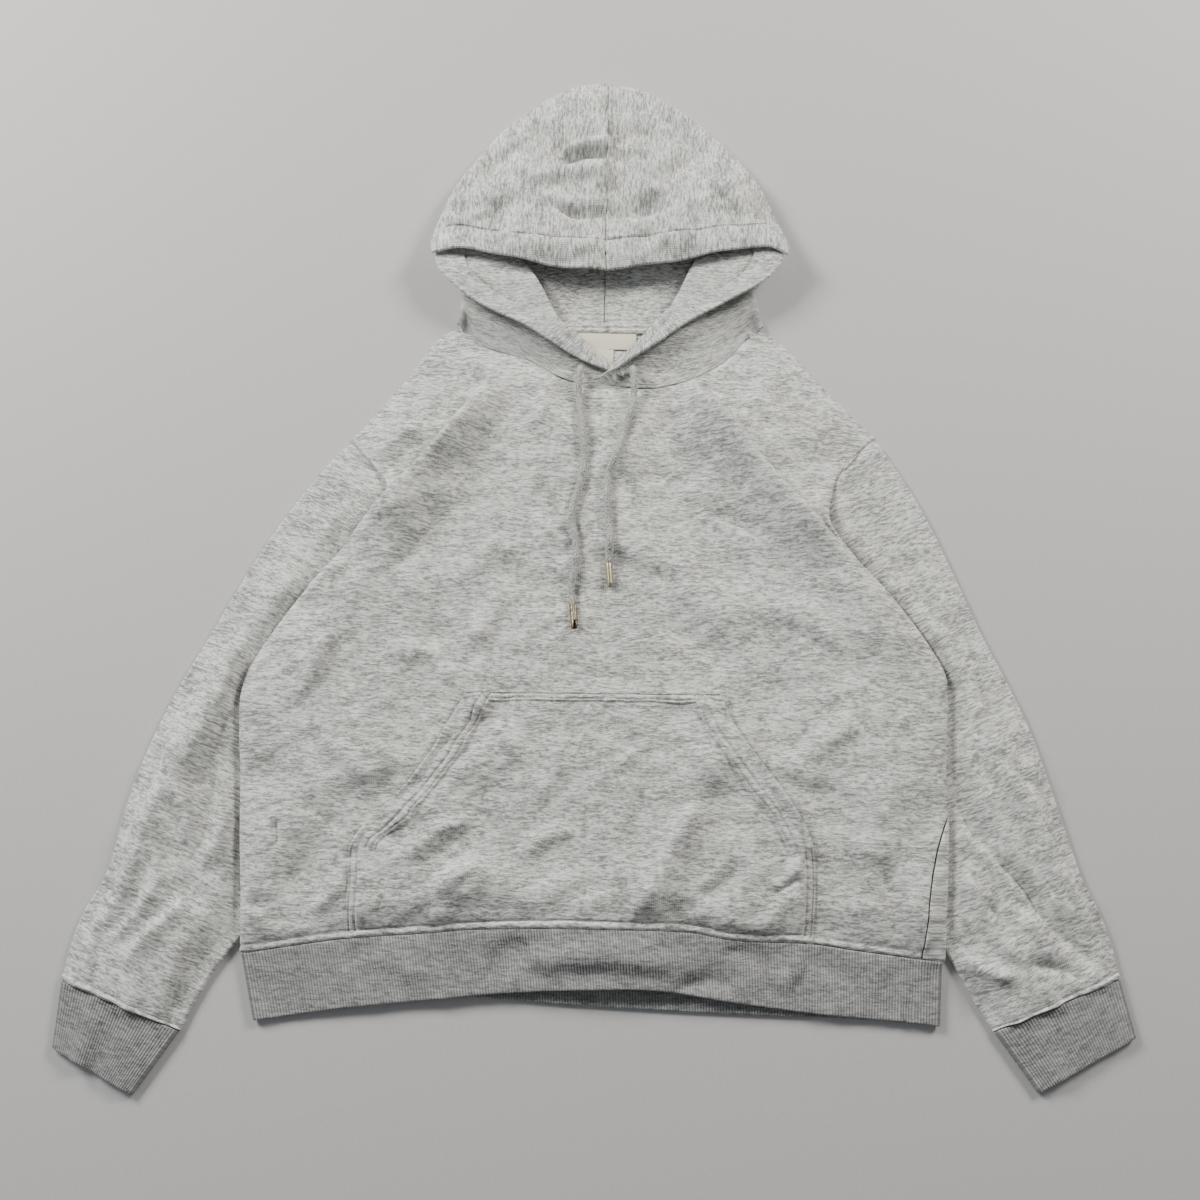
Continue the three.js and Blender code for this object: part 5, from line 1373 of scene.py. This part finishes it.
hoods, sewnLines = {}, {}
for side in ("right", "left"):
    bag, bagUv, bagRaised = hoodBag(side)
    flap, flapUv, flapRaised = hoodFlap(side)
    wall = together(clothWall(bag, cloth, bagUv, 0.0, bagRaised), clothWall(flap, cloth, flapUv, flapRaised))
    hoods[side] = meshPiece("hood_" + side + "_cloth", *wall, bodyCloth, "melange", ["hood_" + side])
print("hood made")


# Neck tape, label and size tag inside the back panel: middle, size, thickness, height, bend and rolled edges
def stripWall(x, y, width, height, thick, above, bend, rolls):
    u = steps(-0.5, 0.5, 41)[None, :]
    v = steps(-0.5, 0.5, 17)[:, None]
    px, py = x + u * width, y + v * height
    wave = 0.25 * np.sin(u * 9) * (0.5 - v) + rolls * np.abs(np.sin(2 * math.pi * v))
    pz = cloth + 0.45 + above + bend * (1 - (2 * v) ** 2) + wave
    return clothWall(stacked(px, py, pz), thick, stacked(px, py))


strips = {
    "neckTape": (4, 327, 190, 10, 0.9, 0.4, 0.4, 1.3), "neckLabel": (1, 314, 57, 16, 0.35, 0.5, 0.5, 0),
    "sizeTag": (-1, 301, 20, 14, 0.3, 0.3, 0.3, 0),
}
for name, node, material, slot in (
    ("neckTape", "neck_tape", bodyCloth, "cord"), ("neckLabel", "neck_label", labelSatin, "label"),
    ("sizeTag", "size_tag", labelSatin, "label"),
):
    meshPiece(name, *stripWall(*strips[name]), material, slot, [node])
print("labels made")


# Sewing: one small bowed thread for each stitch, its ends sunk in the cloth
stitchSet = {"pitch": 3.3, "length": 2.5, "radius": 0.34, "proud": 0.12, "sunk": 0.4}


def stitchRow(line, surface):
    s = stitchSet
    run = along(line)
    at = np.arange(s["pitch"] / 2, run[-1], s["pitch"])
    share = np.array([-0.5, -0.42, 0, 0.42, 0.5])
    where = at[:, None] + share[None, :] * s["length"]
    x, y = np.interp(where, run, line[:, 0]), np.interp(where, run, line[:, 1])
    flat = surface(x[:, ::4], y[:, ::4])
    z = mix(flat[:, :1], flat[:, 1:], share[None, :] + 0.5)
    z = z + mix(s["proud"], -s["sunk"], (2 * share[None, :]) ** 2)
    forward = stacked(x[:, -1] - x[:, 0], y[:, -1] - y[:, 0])
    forward /= np.linalg.norm(forward, axis=1, keepdims=True) + 1e-9
    size = s["radius"] * np.array([0.35, 0.9, 1, 0.9, 0.35])[None, :, None]
    turn = np.array([0, 1, 2, 3]) * math.pi / 2
    out, up = np.cos(turn)[None, None, :] * size, np.sin(turn)[None, None, :] * size
    points = np.stack([
        x[..., None] - forward[:, 1, None, None] * out, y[..., None] + forward[:, 0, None, None] * out,
        z[..., None] + up,
    ], axis=-1)
    index = np.arange(points[..., 0].size).reshape(points.shape[:3])
    a, b = index, np.roll(index, -1, 2)
    sides = stacked(a[:, :-1], a[:, 1:], b[:, 1:], b[:, :-1]).reshape(-1, 4)
    ends = join([index[:, 0, :], index[:, -1, ::-1]])
    faces = join([sides, ends])
    flatPoints = points.reshape(-1, 3)
    return flatPoints, faces, flatPoints[faces][..., :2]


# Rows on the pocket, above the hem and the cuffs, and sunken ones along the hood's hem, drawn in a darker
# copy of the thread as painted shade of their groove
def makeStitches():
    onTop = surfaceOf(frontPanel, pocket)
    onHood = surfaceOf(hoods["right"], hoods["left"])
    onSleeves = surfaceOf(*(bpy.data.objects["sleeve_" + side + "_cloth"] for side in ("right", "left")))

    def pocketLine(levels, row, right):
        side = curve(pocketSides, "y", "right" if right else "left", levels)
        slope = np.gradient(side, levels)
        x = side + (-1 if right else 1) * row * np.hypot(1, slope)
        left, wide = curve(pocketSides, "y", "left", levels), curve(pocketSides, "y", "right", levels)
        place = (x - left) / (wide - left)
        return stacked(x, mix(hemSeamAt(x) + 0.4, -14 + 2 * place, (levels + 212) / 198))

    rows = []
    for right in (False, True):
        for row in pocketHem["rows"]:
            rows.append((pocketLine(steps(-142, -24, 90), row, right), onTop))
        for row in pocketHem["sideRows"]:
            rows.append((pocketLine(steps(-205, -152, 40), row, right), onTop))
    for row in pocketHem["topRows"]:
        x = steps(-108, 101, 60)
        rows.append((stacked(x, -14 + 2 * (x + 110) / 213 - row), onTop))
    x = steps(-270, 262, 300)
    rows.append((stacked(x, hemSeamAt(x) + 6.4), onTop))
    sunken = together(*(stitchRow(line, onHood) for line in sewnLines.values()))
    # the sunken rows take the darker thread, painted shade of the groove they lie in
    meshPiece("hoodStitches", *sunken, shadedThread, "melange")
    for side, line in (("right", (-412, -250, -330, -280)), ("left", (411, -232, 326, -269))):
        rows.append((np.array([line[:2], line[2:]], float), onSleeves))
    stitches = together(*(stitchRow(line, surface) for line, surface in rows))
    meshPiece("stitches", *stitches, threadCloth, "melange")


makeStitches()
print("stitches made")


# Stage: a plain pale floor and soft light from beyond the hood
def makeStage():
    floorMaterial, tree, shader = newMaterial("paleFloor", Roughness=0.85, Specular_IOR_Level=0.2)
    place = tree.nodes.new("ShaderNodeTexCoord").outputs["Object"]
    grain = noise(tree, stretched(tree, place, 3, 3), 1.0, 4.0, 0.7)
    color = blendColor(tree, grain, (0.5, 0.49, 0.48, 1), (0.6, 0.59, 0.585, 1))
    tree.links.new(color, shader.inputs["Base Color"])
    mesh = bpy.data.meshes.new("floor")
    corners = [(x, y, -0.0002) for x, y in ((-6, -6), (6, -6), (6, 6), (-6, 6))]
    mesh.from_pydata(corners, [], [(0, 1, 2, 3)])
    mesh.materials.append(floorMaterial)
    floor = bpy.data.objects.new("floor", mesh)
    bpy.context.scene.collection.objects.link(floor)
    floor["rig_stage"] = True
    lights = {
        "window": dict(place=(-1.45, 1.2, 1.15), aimY=0.1, size=0.7, power=54, color=(1, 0.99, 0.965)),
        "lamp": dict(place=(1.35, 1.3, 1.15), aimY=0.1, size=0.6, power=40, color=(1, 0.98, 0.94)),
        "fill": dict(place=(-2.2, -0.3, 0.55), aimY=0, size=0.7, power=5, color=(0.75, 0.9, 1)),
    }
    for name, s in lights.items():
        data = bpy.data.lights.new(name, "AREA")
        data.size, data.energy, data.color = s["size"], s["power"], s["color"]
        light = bpy.data.objects.new(name, data)
        light.location = s["place"]
        ahead = Vector((0, s["aimY"], 0)) - Vector(s["place"])
        light.rotation_euler = ahead.to_track_quat("-Z", "Y").to_euler()
        bpy.context.scene.collection.objects.link(light)
    world = bpy.data.worlds.new("studio")
    world.use_nodes = True
    world.node_tree.nodes["Background"].inputs["Color"].default_value = (0.93, 0.95, 1, 1)
    world.node_tree.nodes["Background"].inputs["Strength"].default_value = 0.2
    bpy.context.scene.world = world


makeStage()
triangles = sum(
    sum(len(p.vertices) - 2 for p in o.data.polygons) for o in bpy.context.scene.objects
    if o.type == "MESH" and not o.get("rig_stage") and not o.hide_render
)
print("triangles in all", triangles)
